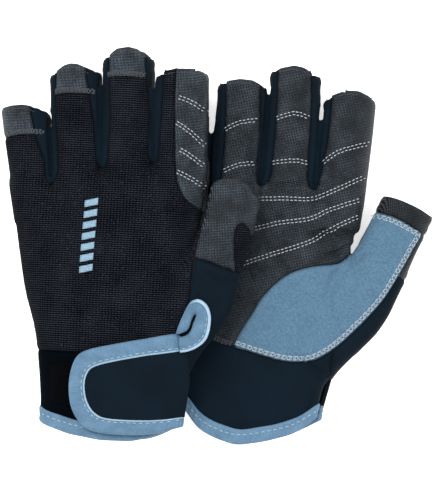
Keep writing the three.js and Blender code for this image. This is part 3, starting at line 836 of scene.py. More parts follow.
# ---- Node materials ----------------------------------------------------------
class Nodes:
    """A small helper to write a node material line by line."""

    def __init__(self, name, color, roughness):
        self.mat = bpy.data.materials.new(name)
        self.mat.use_nodes = True
        self.tree = self.mat.node_tree
        self.shader = self.tree.nodes["Principled BSDF"]
        self.shader.inputs["Base Color"].default_value = (*color, 1)
        self.shader.inputs["Roughness"].default_value = roughness

    def new(self, kind, **values):
        node = self.tree.nodes.new(kind)
        for key, value in values.items():
            setattr(node, key, value)
        return node

    def link(self, a, b):
        self.tree.links.new(a, b)

    def put(self, socket, value):
        if isinstance(value, bpy.types.NodeSocket):
            self.link(value, socket)
        else:
            socket.default_value = value

    def cloth(self):
        return self.new("ShaderNodeAttribute", attribute_name="cloth").outputs["Vector"]

    def math(self, op, a, b=0.0):
        node = self.new("ShaderNodeMath", operation=op)
        self.put(node.inputs[0], a)
        self.put(node.inputs[1], b)
        return node.outputs[0]

    def total(self, *terms):
        """The sum of (socket, weight) terms."""
        parts = [a if weight == 1 else self.math("MULTIPLY", a, weight) for a, weight in terms]
        whole = parts[0]
        for part in parts[1:]:
            whole = self.math("ADD", whole, part)
        return whole

    def scaled(self, vector, x, y, z, angle=0.0):
        node = self.new("ShaderNodeMapping")
        self.link(vector, node.inputs["Vector"])
        node.inputs["Scale"].default_value = (x, y, z)
        node.inputs["Rotation"].default_value = (0, 0, angle)
        return node.outputs[0]

    def noise(self, vector, scale, detail=3.0, rough=0.55):
        node = self.new("ShaderNodeTexNoise")
        self.link(vector, node.inputs["Vector"])
        node.inputs["Scale"].default_value = scale
        node.inputs["Detail"].default_value = detail
        node.inputs["Roughness"].default_value = rough
        return node.outputs["Fac"]

    def wave(self, vector, axis, period):
        """Sine bands across x, y or both diagonals, with the period in millimetres."""
        split = self.new("ShaderNodeSeparateXYZ")
        self.link(vector, split.inputs[0])
        x, y = split.outputs[0], split.outputs[1]
        run = {"x": x, "y": y}.get(axis) or self.math("ADD" if axis == "up" else "SUBTRACT", x, y)
        return self.math("SINE", self.math("MULTIPLY", run, 2 * math.pi / period))

    def ramp(self, fac, stops, gain=1.0):
        """Colours at places from 0 to 1, all multiplied by the gain."""
        node = self.new("ShaderNodeValToRGB")
        self.link(fac, node.inputs[0])
        ramp = node.color_ramp
        while len(ramp.elements) < len(stops):
            ramp.elements.new(0.5)
        for element, (at, color) in zip(ramp.elements, stops):
            element.position = at
            element.color = (*(c * gain for c in color), 1)
        return node.outputs[0]

    def range(self, fac, lo, hi, out_lo=0.0, out_hi=1.0):
        node = self.new("ShaderNodeMapRange")
        self.link(fac, node.inputs[0])
        for i, v in enumerate((lo, hi, out_lo, out_hi), 1):
            node.inputs[i].default_value = v
        return node.outputs[0]

    def blend(self, fac, a, b):
        """The colour a, turning into the fixed colour b with fac."""
        node = self.new("ShaderNodeMix", data_type="RGBA")
        self.link(fac, node.inputs["Factor"])
        self.link(a, node.inputs["A"])
        node.inputs["B"].default_value = (*b, 1)
        return node.outputs["Result"]

    def bump(self, height, depth):
        """Bump with the height's full swing equal to depth in millimetres."""
        node = self.new("ShaderNodeBump")
        node.inputs["Strength"].default_value = 1.0
        node.inputs["Distance"].default_value = depth * MM
        self.link(height, node.inputs["Height"])
        return node.outputs[0]

    def finish(self, color=None, roughness=None, normal=None, sheen=0.0, specular=0.5, sheen_tint=(1, 1, 1)):
        s = self.shader.inputs
        if color is not None:
            self.link(color, s["Base Color"])
        if roughness is not None:
            self.link(roughness, s["Roughness"])
        if normal is not None:
            self.link(normal, s["Normal"])
        s["Sheen Weight"].default_value = sheen
        s["Sheen Roughness"].default_value = 0.4
        s["Sheen Tint"].default_value = (*sheen_tint, 1)
        s["Specular IOR Level"].default_value = specular
        return self.mat


def seam_shade(n, color_socket, amount=0.55):
    """Painted shade: darkens the last millimetre before a seam, in the groove where shade falls."""
    seam = n.new("ShaderNodeAttribute", attribute_name="seam").outputs["Fac"]
    dark = n.range(seam, 0.0, 1.3, amount, 1.0)
    mix = n.new("ShaderNodeMix", data_type="RGBA", blend_type="MULTIPLY")
    mix.inputs["Factor"].default_value = 1.0
    n.link(color_socket, mix.inputs["A"])
    n.link(dark, mix.inputs["B"])
    return mix.outputs["Result"]


def knit_look():
    """Rows of short raised dashes, each row shifted by half a dash."""
    n = Nodes("ribbed_knit", (0.012, 0.013, 0.018), 0.9)
    cloth = n.cloth()
    wobble = n.new("ShaderNodeTexNoise")
    n.link(cloth, wobble.inputs["Vector"])
    wobble.inputs["Scale"].default_value = 0.12
    shift = n.new("ShaderNodeMixRGB", blend_type="ADD")
    shift.inputs[0].default_value = 0.35
    n.link(cloth, shift.inputs[1])
    n.link(wobble.outputs["Color"], shift.inputs[2])
    brick = n.new("ShaderNodeTexBrick")
    n.link(shift.outputs[0], brick.inputs["Vector"])
    brick.offset = 0.5
    brick.inputs["Scale"].default_value = 1.0
    brick.inputs["Mortar Size"].default_value = 0.2
    brick.inputs["Mortar Smooth"].default_value = 1.0
    brick.inputs["Brick Width"].default_value = 2.1
    brick.inputs["Row Height"].default_value = 1.05
    rows = n.range(n.wave(cloth, "y", 1.05), -1, 1)
    fine = n.noise(cloth, 2.2, 4)
    columns = n.range(n.wave(cloth, "x", 1.5), -1, 1)
    grid = n.math("MULTIPLY", rows, columns)
    height = n.total((rows, 0.42), (grid, 0.3), (fine, 0.62), (brick.outputs["Fac"], -0.3))
    tone = n.total((height, 0.8), (n.noise(cloth, 0.07, 4), 0.5))
    # Painted shade and highlight: the colour follows the weave's height, near black in the valleys and
    # lighter on the raised tops.
    color = n.ramp(tone, [(0.25, (0.0002, 0.0004, 0.0009)), (0.58, (0.0008, 0.0013, 0.0028)),
                          (0.76, (0.0036, 0.0048, 0.0076)), (0.98, (0.022, 0.026, 0.034))])
    # Painted glints: pale specks scattered over the knit.
    painted_glint = n.range(n.noise(cloth, 1.1, 2, 0.8), 0.64, 0.74)
    color = n.blend(painted_glint, color, (0.045, 0.05, 0.06))
    normal = n.bump(height, 0.34)
    rough = n.range(fine, 0.3, 0.7, 0.82, 0.97)
    return n.finish(seam_shade(n, color), rough, normal, sheen=0.008, specular=0.04)


def leather_look(name="diamond_leather", gain=1.0):
    """Coated palm cloth with a fine raised diamond grain, its tops painted lighter as a low painted sheen."""
    n = Nodes(name, (0.014, 0.015, 0.017), 0.5)
    cloth = n.cloth()
    up, down = n.wave(cloth, "up", 1.5), n.wave(cloth, "down", 1.5)
    diamond = n.range(n.math("MULTIPLY", up, down), -0.7, 0.9)
    fine = n.noise(cloth, 1.6, 5)
    wide = n.noise(cloth, 0.11, 4)
    height = n.total((diamond, 0.7), (fine, 0.5))
    tone = n.total((height, 0.72), (wide, 0.4))
    # The diamond grain is the leather's own. Its raised tops painted pale are a painted highlight, and its
    # hollows painted near black are painted shade.
    color = n.ramp(tone, [(0.4, (0.0002, 0.0005, 0.001)), (0.6, (0.0014, 0.0028, 0.0048)),
                          (0.76, (0.0105, 0.0165, 0.0235)), (0.92, (0.1, 0.13, 0.16))], gain)
    normal = n.bump(height, 0.4)
    rough = n.range(n.total((wide, 1), (fine, 0.4)), 0.4, 0.95, 0.34, 0.58)
    return n.finish(seam_shade(n, color), rough, normal, specular=0.24)


def neoprene_look(name="neoprene", gain=1.0):
    """Jersey-faced foam: smooth and matt, with a barely seen weave."""
    n = Nodes(name, (0.008, 0.0085, 0.011), 0.85)
    cloth = n.cloth()
    weave = n.math("MULTIPLY", n.wave(cloth, "x", 0.7), n.wave(cloth, "y", 0.55))
    fine = n.noise(cloth, 3.0, 3)
    wide = n.noise(cloth, 0.05, 4)
    height = n.total((n.range(weave, -1, 1), 0.5), (fine, 1))
    tone = n.total((fine, 0.35), (wide, 0.65))
    color = n.ramp(tone, [(0.3, (0.0008, 0.0033, 0.0064)), (0.7, (0.0034, 0.0102, 0.0182))], gain)
    normal = n.bump(height, 0.06)
    rough = n.range(wide, 0.3, 0.7, 0.72, 0.9)
    return n.finish(seam_shade(n, color), rough, normal, sheen=0.016 * gain, specular=0.07 * gain)


def suede_look():
    """Brushed blue-grey nap, mottled where it has been rubbed either way."""
    n = Nodes("brushed_suede", (0.15, 0.27, 0.42), 0.9)
    cloth = n.cloth()
    fine = n.noise(cloth, 0.95, 6, 0.85)
    hair = n.noise(n.scaled(cloth, 1.0, 2.6, 1.0, 0.5), 1.8, 4, 0.7)
    wide = n.noise(cloth, 0.09, 4)
    tone = n.total((fine, 0.75), (hair, 0.3), (wide, 0.06))
    color = n.ramp(tone, [(0.36, (0.04, 0.082, 0.125)), (0.55, (0.078, 0.152, 0.228)),
                          (0.75, (0.145, 0.245, 0.34))])
    normal = n.bump(n.total((fine, 1), (hair, 0.6)), 0.3)
    rough = n.range(fine, 0.3, 0.7, 0.85, 1.0)
    return n.finish(seam_shade(n, color, 0.62), rough, normal, 0.06, 0.06, (0.75, 0.87, 1.0))


def tape_look():
    """Folded stretch binding: fine cross ribs and a soft satin face."""
    n = Nodes("binding_tape", (0.2, 0.32, 0.45), 0.6)
    cloth = n.cloth()
    ribs = n.range(n.math("MULTIPLY", n.wave(cloth, "up", 0.62), n.wave(cloth, "down", 0.62)), -1, 1)
    fine = n.noise(cloth, 1.4, 4)
    wide = n.noise(cloth, 0.13, 3)
    tone = n.total((fine, 0.5), (wide, 0.5))
    color = n.ramp(tone, [(0.3, (0.065, 0.125, 0.2)), (0.55, (0.11, 0.205, 0.305)),
                          (0.8, (0.17, 0.285, 0.4))])
    cross = n.range(n.wave(cloth, "x", 1.3), -1, 1)
    height = n.total((ribs, 0.4), (cross, 0.7), (fine, 1))
    # Painted highlight: where the cloth's third coordinate is set, on the tape's rolled lip and rim, the
    # colour turns pale.
    axes = n.new("ShaderNodeSeparateXYZ")
    n.link(cloth, axes.inputs[0])
    color = n.blend(n.range(axes.outputs["Z"], 0.2, 0.9, 0.0, 0.75), color, (0.42, 0.58, 0.72))
    rough = n.range(fine, 0.3, 0.7, 0.5, 0.7)
    return n.finish(color, rough, n.bump(height, 0.16), 0.06, 0.16, (0.8, 0.9, 1.0))


def print_look():
    """Rubbery print that lets the knit's rows show through."""
    n = Nodes("rubber_print", (0.3, 0.46, 0.6), 0.5)
    cloth = n.cloth()
    fine = n.noise(cloth, 1.2, 4)
    rows = n.range(n.wave(cloth, "y", 1.05), -1, 1)
    color = n.ramp(fine, [(0.3, (0.12, 0.22, 0.31)), (0.7, (0.24, 0.37, 0.47))])
    height = n.total((rows, 0.6), (fine, 1))
    return n.finish(color, n.range(fine, 0.3, 0.7, 0.4, 0.65), n.bump(height, 0.16), specular=0.4)


def fastener_look():
    """Black fuzz of hooks or loops."""
    n = Nodes("hook_and_loop", (0.01, 0.011, 0.013), 0.9)
    cloth = n.cloth()
    loops = n.new("ShaderNodeTexVoronoi")
    n.link(cloth, loops.inputs["Vector"])
    loops.inputs["Scale"].default_value = 1.3
    fuzz = n.noise(cloth, 2.4, 5, 0.8)
    height = n.math("ADD", loops.outputs["Distance"], fuzz)
    color = n.ramp(height, [(0.3, (0.0003, 0.0005, 0.0007)), (0.9, (0.0012, 0.0017, 0.0023))])
    return n.finish(color, None, n.bump(height, 0.4), sheen=0.004, specular=0.02)


def thread_look(name, color):
    """Twisted thread in one colour."""
    n = Nodes(name, color, 0.55)
    where = n.new("ShaderNodeTexCoord").outputs["Object"]
    twist = n.noise(where, 2600.0, 2)
    tint = n.ramp(twist, [(0.3, tuple(c * 0.72 for c in color)), (0.7, color)])
    return n.finish(tint, None, n.bump(twist, 0.05), sheen=0.1, specular=0.4)


LOOKS = dict(
    knit=knit_look(),
    grained_leather=leather_look(),
    neoprene=neoprene_look(),
    blue_suede=suede_look(),
    blue_tape=tape_look(),
    blue_print=print_look(),
    hook_and_loop=fastener_look(),
)
THREADS = dict(
    white=thread_look("white_thread", (0.52, 0.55, 0.58)),
    suede=thread_look("coverlock_thread", (0.46, 0.53, 0.58)),
    blue=thread_look("pale_blue_thread", (0.36, 0.49, 0.58)),
    grey=thread_look("grey_thread", (0.055, 0.066, 0.08)),
)
DARK_LEATHER = leather_look("plain_leather", 0.55)
DARK_NEOPRENE = neoprene_look("dark_neoprene", 0.25)
COOL_LEATHER = leather_look("cool_leather", 1.15)
# A brighter copy of the same leather, a painted highlight, for the tip patches and the left index wrap.
BRIGHT_LEATHER = leather_look("painted_highlight_leather", 1.6)


def look_for(glove, name):
    """The material of a panel: its slot's, or a lighter or darker one where the photo shows it so."""
    if name == "cuff_back" and glove.back > 0:
        return DARK_NEOPRENE
    # Painted highlight: the tip patches and the left glove's index wrap take the brighter copy of the
    # leather.
    if name.startswith("tip_patch") or (name == "index_wrap" and glove.back > 0):
        return BRIGHT_LEATHER
    if name == "thumb_end":
        return COOL_LEATHER if glove.back > 0 else DARK_LEATHER
    if name == "thumb_sleeve" and glove.back > 0:
        return LOOKS[slot_of("back_panel")]
    return LOOKS[slot_of(name)]


# ---- Surface relief, shared by everything sewn on top of the panels ----------
def with_relief(glove, pts, normals, extra=0.0):
    """Points moved out with the creases of the panel under them, plus a distance."""
    out = pts.copy()
    for i, q in enumerate(pts):
        total, weight = 0.0, 0.0
        for _, k, d in glove.tree.find_n(q, 4):
            w = 1 / (d * d + 0.05)
            total += glove.height[k] * w
            weight += w
        out[i] = q + normals[i] * (total / weight + extra)
    return out


def on_panel(glove, xy, side, extra=0.0):
    """Plan points laid on the panels of one side, with their normals."""
    pts, normals = glove.lift(xy, side)
    return with_relief(glove, pts, normals, extra), normals


# ---- Stitches ----------------------------------------------------------------
STITCH_RINGS, STITCH_SIDES = 5, 6


def stitch_mesh(centres, runs, normals, length, width, height):
    """Many short threads: each a small capsule lying on the cloth, along its run."""
    verts, faces = [], []
    for c, t, n in zip(centres, runs, normals):
        t = t / max(np.linalg.norm(t), 1e-9)
        b = np.cross(n, t)
        b /= max(np.linalg.norm(b), 1e-9)
        up = np.cross(t, b)
        base = len(verts)
        for r in range(STITCH_RINGS):
            s = r / (STITCH_RINGS - 1) * 2 - 1
            fat = max(1 - s**4, 0.02) ** 0.5
            for k in range(STITCH_SIDES):
                a = 2 * math.pi * k / STITCH_SIDES
                verts.append(c + t * (s * length / 2) + b * (math.cos(a) * width / 2 * fat)
                             + up * (math.sin(a) * height * fat + height * 0.35 * (1 - s * s)))
        for r in range(STITCH_RINGS - 1):
            for k in range(STITCH_SIDES):
                a, b2 = base + r * STITCH_SIDES + k, base + r * STITCH_SIDES + (k + 1) % STITCH_SIDES
                faces.append((a, b2, b2 + STITCH_SIDES, a + STITCH_SIDES))
        faces.append(tuple(base + k for k in range(STITCH_SIDES))[::-1])
        faces.append(tuple(base + (STITCH_RINGS - 1) * STITCH_SIDES + k for k in range(STITCH_SIDES)))
    return np.array(verts), faces


def along_line(line, pitch):
    """Even points and directions along a polyline in plan."""
    pts = np.array(line, float)
    seg = np.diff(pts, axis=0)
    dist = np.concatenate([[0], np.cumsum(np.linalg.norm(seg, axis=1))])
    stops = np.arange(pitch * 0.5, dist[-1], pitch)

    def at(stops):
        return np.stack([np.interp(stops, dist, pts[:, i]) for i in range(2)], 1)

    run = at(stops + 0.3) - at(stops - 0.3)
    run /= np.maximum(np.linalg.norm(run, axis=1), 1e-9)[:, None]
    return at(stops), run


def shifted(line, distance):
    """The line moved to its left in plan."""
    pts = np.array(line, float)
    run = np.gradient(pts, axis=0)
    run /= np.maximum(np.linalg.norm(run, axis=1), 1e-9)[:, None]
    return pts + np.stack([-run[:, 1], run[:, 0]], 1) * distance


class Threads:
    """Collects stitches on a glove, by thread colour and by the body they move with."""

    def __init__(self, glove):
        self.glove = glove
        self.rows = {}

    def add(self, key, centres, runs, normals, length, width, height):
        self.rows.setdefault(key, []).append(stitch_mesh(centres, runs, normals, length, width, height))

    def row(self, key, line, side, pitch=1.95, length=1.5, width=0.4, height=0.2, extra=0.05, place=on_panel):
        """A straight row of stitches, a little uneven."""
        xy, run = along_line(line, pitch)
        jitter = np.random.default_rng(5)
        xy = xy + jitter.normal(0, 0.05, xy.shape)
        pts, normals = place(self.glove, xy, side, extra)
        tip, _ = place(self.glove, xy + run * 0.6, side, extra)
        self.add(key, pts, tip - pts, normals, length, width, height)

    def double(self, key, line, side, apart=1.5):
        """Twin-needle stitching: two rows side by side."""
        line = spline(line, 40)
        for sign in (1, -1):
            self.row(key, shifted(line, sign * apart / 2), side)

    def zigzag(self, key, line, side, width=2.0, pitch=1.3, thread=0.42):
        """Coverlock: slanted threads that cross the seam, held by a straight row at each edge."""
        xy, run = along_line(line, pitch)
        across = np.stack([-run[:, 1], run[:, 0]], 1)
        for sign in (1, -1):
            a = xy + across * width / 2 * sign - run * pitch * 0.5
            b = xy - across * width / 2 * sign + run * pitch * 0.5
            mid = (a + b) / 2
            pts, normals = on_panel(self.glove, mid, side, 0.1 if sign > 0 else 0.2)
            ends, _ = on_panel(self.glove, mid + (b - a) * 0.3, side, 0.1)
            self.add(key, pts, ends - pts, normals, float(np.hypot(width, pitch)), thread, 0.16)
        for sign in (1, -1):
            self.row(key, shifted(line, sign * width / 2), side, pitch * 1.5, pitch * 1.35, 0.42, 0.2, 0.12)

    def build(self):
        """One object for each thread colour and body, as {key: object}."""
        made = {}
        for key, rows in self.rows.items():
            verts, faces, base = [], [], 0
            for v, f in rows:
                verts.append(v)
                faces += [tuple(i + base for i in q) for q in f]
                base += len(v)
            obj = mesh_object(self.glove.name + "_" + key, self.glove.world(np.concatenate(verts)), faces)
            obj.data.materials.append(THREADS[key.split("-")[0]])
            made[key] = obj
        return made


# ---- Swept and folded trim ---------------------------------------------------
def skin(glove, name, rows, closed_run, look):
    """A closed piece from rows of (local points, cloth coordinates) that each run its whole length.
    The rows go round it. With closed_run their ends meet, and otherwise the ends are capped."""
    rings, cloth = (np.swapaxes(np.array(part, float), 0, 1) for part in zip(*rows))
    n, m = rings.shape[:2]
    faces = []
    for i in range(n if closed_run else n - 1):
        for j in range(m):
            a, b = i * m + j, i * m + (j + 1) % m
            c, d = ((i + 1) % n) * m + (j + 1) % m, ((i + 1) % n) * m + j
            faces.append((a, b, c, d))
    if not closed_run:
        faces.append(tuple(range(m))[::-1])
        faces.append(tuple((n - 1) * m + j for j in range(m)))
    obj = mesh_object(glove.name + "_" + name, glove.world(rings.reshape(-1, 3)), faces)
    set_cloth(obj, cloth, np.full(n * m, FAR_FROM_SEAM))
    obj.data.materials.append(LOOKS[look])
    return face_outwards(obj)


def face_outwards(obj):
    """Turns every face of a closed mesh outwards."""
    mesh = bmesh.new()
    mesh.from_mesh(obj.data)
    bmesh.ops.recalc_face_normals(mesh, faces=mesh.faces)
    mesh.to_mesh(obj.data)
    mesh.free()
    return obj


# Round the folded tape of the hem: up from the cut edge, and out from the skin of the hand.
HEM_PROFILE = [
    (7.3, -0.1), (7.25, 0.4), (6.9, 0.72), (6.0, 0.85), (4.4, 0.72), (3.0, 0.62), (1.6, 0.78),
    (0.7, 0.85), (0.1, 0.6), (-0.15, 0.0), (-0.15, -1.0), (0.1, -1.9), (0.8, -2.4), (3.0, -2.5),
    (6.2, -2.4), (6.9, -2.1), (7.1, -1.5),
]


def hem_rise(glove, x):
    """Where the cut edge of the wrist is, at each x."""
    pts = spline(glove.spec["hem"], 80)
    return np.interp(x, pts[:, 0], pts[:, 1])


def hem_binding(glove):
    """Tape folded over the edge of the wrist, a little puckered by its stitches."""
    t = np.linspace(0, 2 * math.pi, 150, endpoint=False)
    c = glove.body.c[4]
    w, h = glove.body.w[4], glove.body.h[4]
    power = 2 / ROUNDNESS
    x = c[0] + w * np.sign(np.cos(t)) * np.abs(np.cos(t)) ** power
    z = h * np.sign(np.sin(t)) * np.abs(np.sin(t)) ** power * 0.98
    step = np.hypot(np.diff(x, append=x[:1]), np.diff(z, append=z[:1]))
    run = np.concatenate([[0], np.cumsum(step)])
    even = np.linspace(0, run[-1], 240, endpoint=False)
    x = np.interp(even, run, np.append(x, x[0]))
    z = np.interp(even, run, np.append(z, z[0]))
    rise = hem_rise(glove, x)
    rows = []
    for d, off in HEM_PROFILE:
        p = np.stack([x, rise + d, z], 1)
        p[:, 1] += 0.12 * np.sin(even / 2.4 + d)
        # First onto the skin of the hand, then off it, so that the profile keeps its shape inside too.
        q = p.copy()
        q[:, 1] = np.maximum(q[:, 1], -7)
        q = project_level(glove, q)
        g = glove.gradient(q)
        g[:, 1] = 0
        n = g / np.linalg.norm(g, axis=1)[:, None]
        swing = max(0.0, math.sin(math.pi * min(max(d / 7.2, 0), 1)))
        pucker = 0.16 * np.sin(even * 2 * math.pi / 2.9) * swing
        cloth = np.stack([even, np.full_like(even, d + (9 if off < -1.2 else 0)), z * 0], 1)
        rows.append((q + n * (off + pucker)[:, None], cloth))
    return skin(glove, "hem_binding", rows, True, "blue_tape")


def project_level(glove, p):
    """Onto the surface without changing y, for trim at a cut edge."""
    for _ in range(4):
        d = glove.field(p)[0]
        g = glove.gradient(p)
        g[:, 1] = 0
        p = p - g * (np.clip(d, -2, 2) / np.maximum((g * g).sum(1), 0.05))[:, None]
    return p


def edge_x(glove, y):
    """The thumb-side edge of the wrist."""
    return np.interp(y, glove.body.c[:, 1], glove.body.c[:, 0] + glove.body.w)


def over_back(glove, xy, offset):
    """Places plan points a distance off the back, keeping those past the side of the wrist on its side."""
    xy = np.array(xy, float)
    limit = edge_x(glove, xy[:, 1]) - 1.2
    over = np.maximum(xy[:, 0] - limit, 0)
    xy[:, 0] = np.minimum(xy[:, 0], limit)
    pts, normals = glove.lift(xy, glove.back, field=glove.body.at)
    pts = pts + normals * np.asarray(offset)[..., None]
    pts[:, 2] -= glove.back * over
    return pts, normals


def following_hem(glove, line):
    """Bends an outline on the cuff up towards the tab's root, so that its lower edge follows the hem."""
    line = line.copy()
    rise = glove.spec["tab_curve"] * np.maximum(line[:, 0] - 4, 0) ** 2
    line[:, 1] += rise * (50 - line[:, 1]) / 50
    return line


def matched_curves(glove, count):
    """The tab's outer edge and the inner edge of its tape, sampled alike, stopping at the root."""
    root = glove.spec["tab_root"]
    outer, inner = (following_hem(glove, spline(line, count * 4)) for line in (TAB, TAB_INNER))
    outer, inner = outer[outer[:, 0] <= root], inner[inner[:, 0] <= root]

    def even(p):
        d = np.concatenate([[0], np.cumsum(np.linalg.norm(np.diff(p, axis=0), axis=1))])
        s = np.linspace(0, d[-1], count)
        return np.stack([np.interp(s, d, p[:, i]) for i in range(2)], 1), d[-1]

    (o, length), (i, _) = even(outer), even(inner)
    return o, i, length


# Round the tab's tape: across from the outer edge (0) to the inner one (1), and off the back of the hand.
TAPE_PROFILE = [
    (0.92, 2.7), (0.5, 2.6), (0.12, 2.65), (0.0, 3.0), (-0.03, 3.9), (0.02, 4.8), (0.1, 5.25),
    (0.25, 5.4), (0.5, 5.35), (0.7, 5.2), (0.8, 4.95), (0.87, 5.2), (0.93, 5.4), (0.985, 5.25),
    (1.0, 4.75), (0.98, 4.3),
]


def tab_pieces(glove):
    """The tab's folded tape, and the swelled core inside it."""
    outer, inner, length = matched_curves(glove, 170)
    run = np.linspace(0, length, len(outer))
    rows = []
    for s, off in TAPE_PROFILE:
        xy = outer * (1 - s) + inner * s
        pucker = 0.1 * np.sin(run * 2 * math.pi / 3.1) * math.sin(math.pi * min(max(s, 0), 1))
        near_root = np.clip(1 - np.minimum(run, length - run) / 5, 0, 1)
        pts, _ = over_back(glove, xy, off - near_root * 0.9 * (off > 3.5) + pucker * (off > 4))
        across = np.full(len(run), s * 8 + (12 if off < 3 else 0))
        # The third cloth coordinate marks the inner lip, which the tape's material paints pale as a painted
        # highlight.
        rows.append((pts, np.stack([run, across, run * 0 + (s > 0.88) * 0.75], 1)))
    binding = skin(glove, "tab_binding", rows, False, "blue_tape")

    edge = inner * 0.9 + outer * 0.1
    half = len(edge) // 2
    upper, lower = edge[:half], edge[: half - 1 : -1][:half]
    across = np.concatenate([[0.0], np.linspace(0, 1, 25), [1.0]])
    face = [(v, 4.72 + 0.4 * math.sin(math.pi * v) ** 0.7, 0.0) for v in across]
    rows = []
    for v, off, layer in face + [(v, 2.85, 3.0) for v in across[::-2]]:
        xy = upper * (1 - v) + lower * v
        pts, _ = over_back(glove, xy, np.full(half, off))
        rows.append((pts, np.concatenate([xy, np.full((half, 1), layer)], 1)))
    return binding, skin(glove, "tab", rows, False, "neoprene")


def patch_piece(glove, name, box, low, high):
    """A flat patch with rounded corners and a thin edge, laid over the back of the cuff."""
    (x0, y0), (x1, y1) = box
    centre = np.array([(x0 + x1) / 2, (y0 + y1) / 2])
    half = np.array([(x1 - x0) / 2, (y1 - y0) / 2])
    t = np.linspace(0, 2 * math.pi, 72, endpoint=False)
    turn = np.stack([np.cos(t), np.sin(t)], 1)
    edge = np.sign(turn) * np.abs(turn) ** 0.34
    rows = []
    for s, level in [(0.02, low), (0.6, low), (0.99, low), (1.0, (low + high) / 2), (0.98, high), (0.8, high),
                     (0.55, high), (0.3, high), (0.02, high)]:
        xy = centre + edge * half * s
        pts, _ = over_back(glove, xy, np.full(len(xy), level))
        rows.append((pts, np.concatenate([xy, np.full((len(xy), 1), level)], 1)))
    return skin(glove, name, rows, True, "hook_and_loop")


# Across the loop of tape, from under its outer edge over the rim and the stitched groove to the fold.
LOOP_PROFILE = [
    (0.02, 0.1), (-0.02, 1.6), (0.0, 2.9), (0.05, 3.5), (0.13, 3.55), (0.19, 3.2), (0.24, 2.75),
    (0.3, 3.0), (0.42, 3.3), (0.6, 3.35), (0.78, 3.2), (0.9, 2.85), (0.98, 2.2), (1.0, 1.2), (0.98, 0.1),
]


def vent_binding(glove):
    """The tape that runs on from the tab, loops over and tucks its end in behind itself."""
    count = 120
    across = np.array(LOOP)
    outer, inner = spline(across[:, :2], count), spline(across[:, 2:], count)
    run = np.linspace(0, 1, count)
    # The tape lies low where it starts, climbs over its own start, and its end dips again.
    rise = 1.25 * np.clip((run - 0.62) / 0.3, 0, 1) - 0.7 * np.clip((run - 0.95) / 0.05, 0, 1)
    rise = rise - 0.5 * np.clip((0.3 - run) / 0.3, 0, 1)
    rim = np.clip((run - 0.22) / 0.15, 0, 1)
    rows = []
    for s, off in LOOP_PROFILE:
        xy = outer * (1 - s) + inner * s
        fold = 0.3 * np.sin(run * 17 + 1.2) * math.sin(math.pi * min(max(s, 0), 1)) * (s > 0.35)
        flat = np.where(rim < 1, max(off, 3.1 if 0.1 < s < 0.35 else 0), off)
        high = off * rim + flat * (1 - rim)
        pts, _ = over_side(glove, xy, high + (fold + rise) * (off > 1))
        # The third cloth coordinate marks the rim, which the tape's material paints pale as a painted
        # highlight.
        rows.append((pts, np.stack([run * 62, np.full(count, 8 * (1 - s)), (s < 0.17) * 1.0 * rim], 1)))
    return skin(glove, "vent_binding", rows, False, "blue_tape")


def over_side(glove, xy, offset):
    """Like over_back, but over the root of the thumb as well."""
    pts, normals = glove.lift(np.array(xy, float), glove.back)
    return pts + normals * np.asarray(offset)[:, None], normals


def printed_mark(glove):
    """A column of slanted bars in place of lettering."""
    verts, faces, cloth = [], [], []
    bars = MARK["count"]
    pitch = (MARK["y1"] - MARK["y0"]) / bars
    nx, ny = 7, 5
    for k in range(bars):
        base = MARK["y0"] + pitch * (k + 0.14)
        grid = []
        for i in range(nx):
            for j in range(ny):
                u, v = i / (nx - 1), j / (ny - 1)
                y = base + v * pitch * 0.62 + (u - 0.5) * 1.6
                lean = (MARK["x1"] - MARK["x0"]) * (y - MARK["y0"]) / (MARK["y1"] - MARK["y0"])
                grid.append((MARK["x0"] + lean + u * MARK["width"], y))
        top, normals = on_panel(glove, np.array(grid), glove.back, 0.34)
        low = top - normals * 0.3
        start = len(verts)
        verts += list(top) + list(low)
        cloth += [(x, y, 0) for x, y in grid] * 2
        n = nx * ny
        for i in range(nx - 1):
            for j in range(ny - 1):
                a = start + i * ny + j
                faces.append((a, a + ny, a + ny + 1, a + 1))
                faces.append((a + n, a + n + 1, a + n + ny + 1, a + n + ny))
        rim = [i * ny for i in range(nx)] + [(nx - 1) * ny + j for j in range(1, ny)]
        rim += [i * ny + ny - 1 for i in range(nx - 2, -1, -1)] + list(range(ny - 2, 0, -1))
        for a, b in zip(rim, rim[1:] + rim[:1]):
            faces.append((start + a, start + b, start + n + b, start + n + a))
    obj = mesh_object(glove.name + "_printed_mark", glove.world(np.array(verts)), faces)
    set_cloth(obj, cloth)
    obj.data.materials.append(LOOKS["blue_print"])
    return face_outwards(obj)


# ---- Seams with their own thread ---------------------------------------------
def sew(glove):
    """Every visible row of stitches on a glove."""
    t = Threads(glove)
    spec = glove.spec
    palm, back = -glove.back, glove.back
    for line in PALM_ROWS:
        t.double("white", line, palm)
    if glove.back > 0:
        for line in WRAP_ROWS:
            t.double("white", line, back)
        t.row("grey", shifted(spline(INDEX_WRAP[1:8], 60), 0.8), back, pitch=1.3, length=1.1, width=0.3)
    for key, top in spec["tips"].items():
        face = back if key != "index" or glove.back > 0 else palm
        middle = spec["fingers"][key][-1][0]
        inner = np.array([q for q in top if abs(q[0] - middle) < 8]) - (0, 1.9)
        for side in (face, -face):
            t.row("grey", inner, side, pitch=1.3, length=1.0, width=0.3)
    outer = spline(spec["suede"][: spec["suede_sewn"]], 140)
    t.zigzag("suede", shifted(outer, 1.8), palm, width=1.7, pitch=1.9, thread=0.24)
    low = spline([(-34, 50.6), (-28, 50), (-20, 47.6), (-14.4, 46.8)], 30)
    t.zigzag("grey", low, palm)
    for key in ("little", "ring", "middle"):
        t.zigzag("grey", spline(tip_edge(glove, key, (-0.72, -0.3, 0.1, 0.5, 0.8), up=1.3), 24), back)
    return t


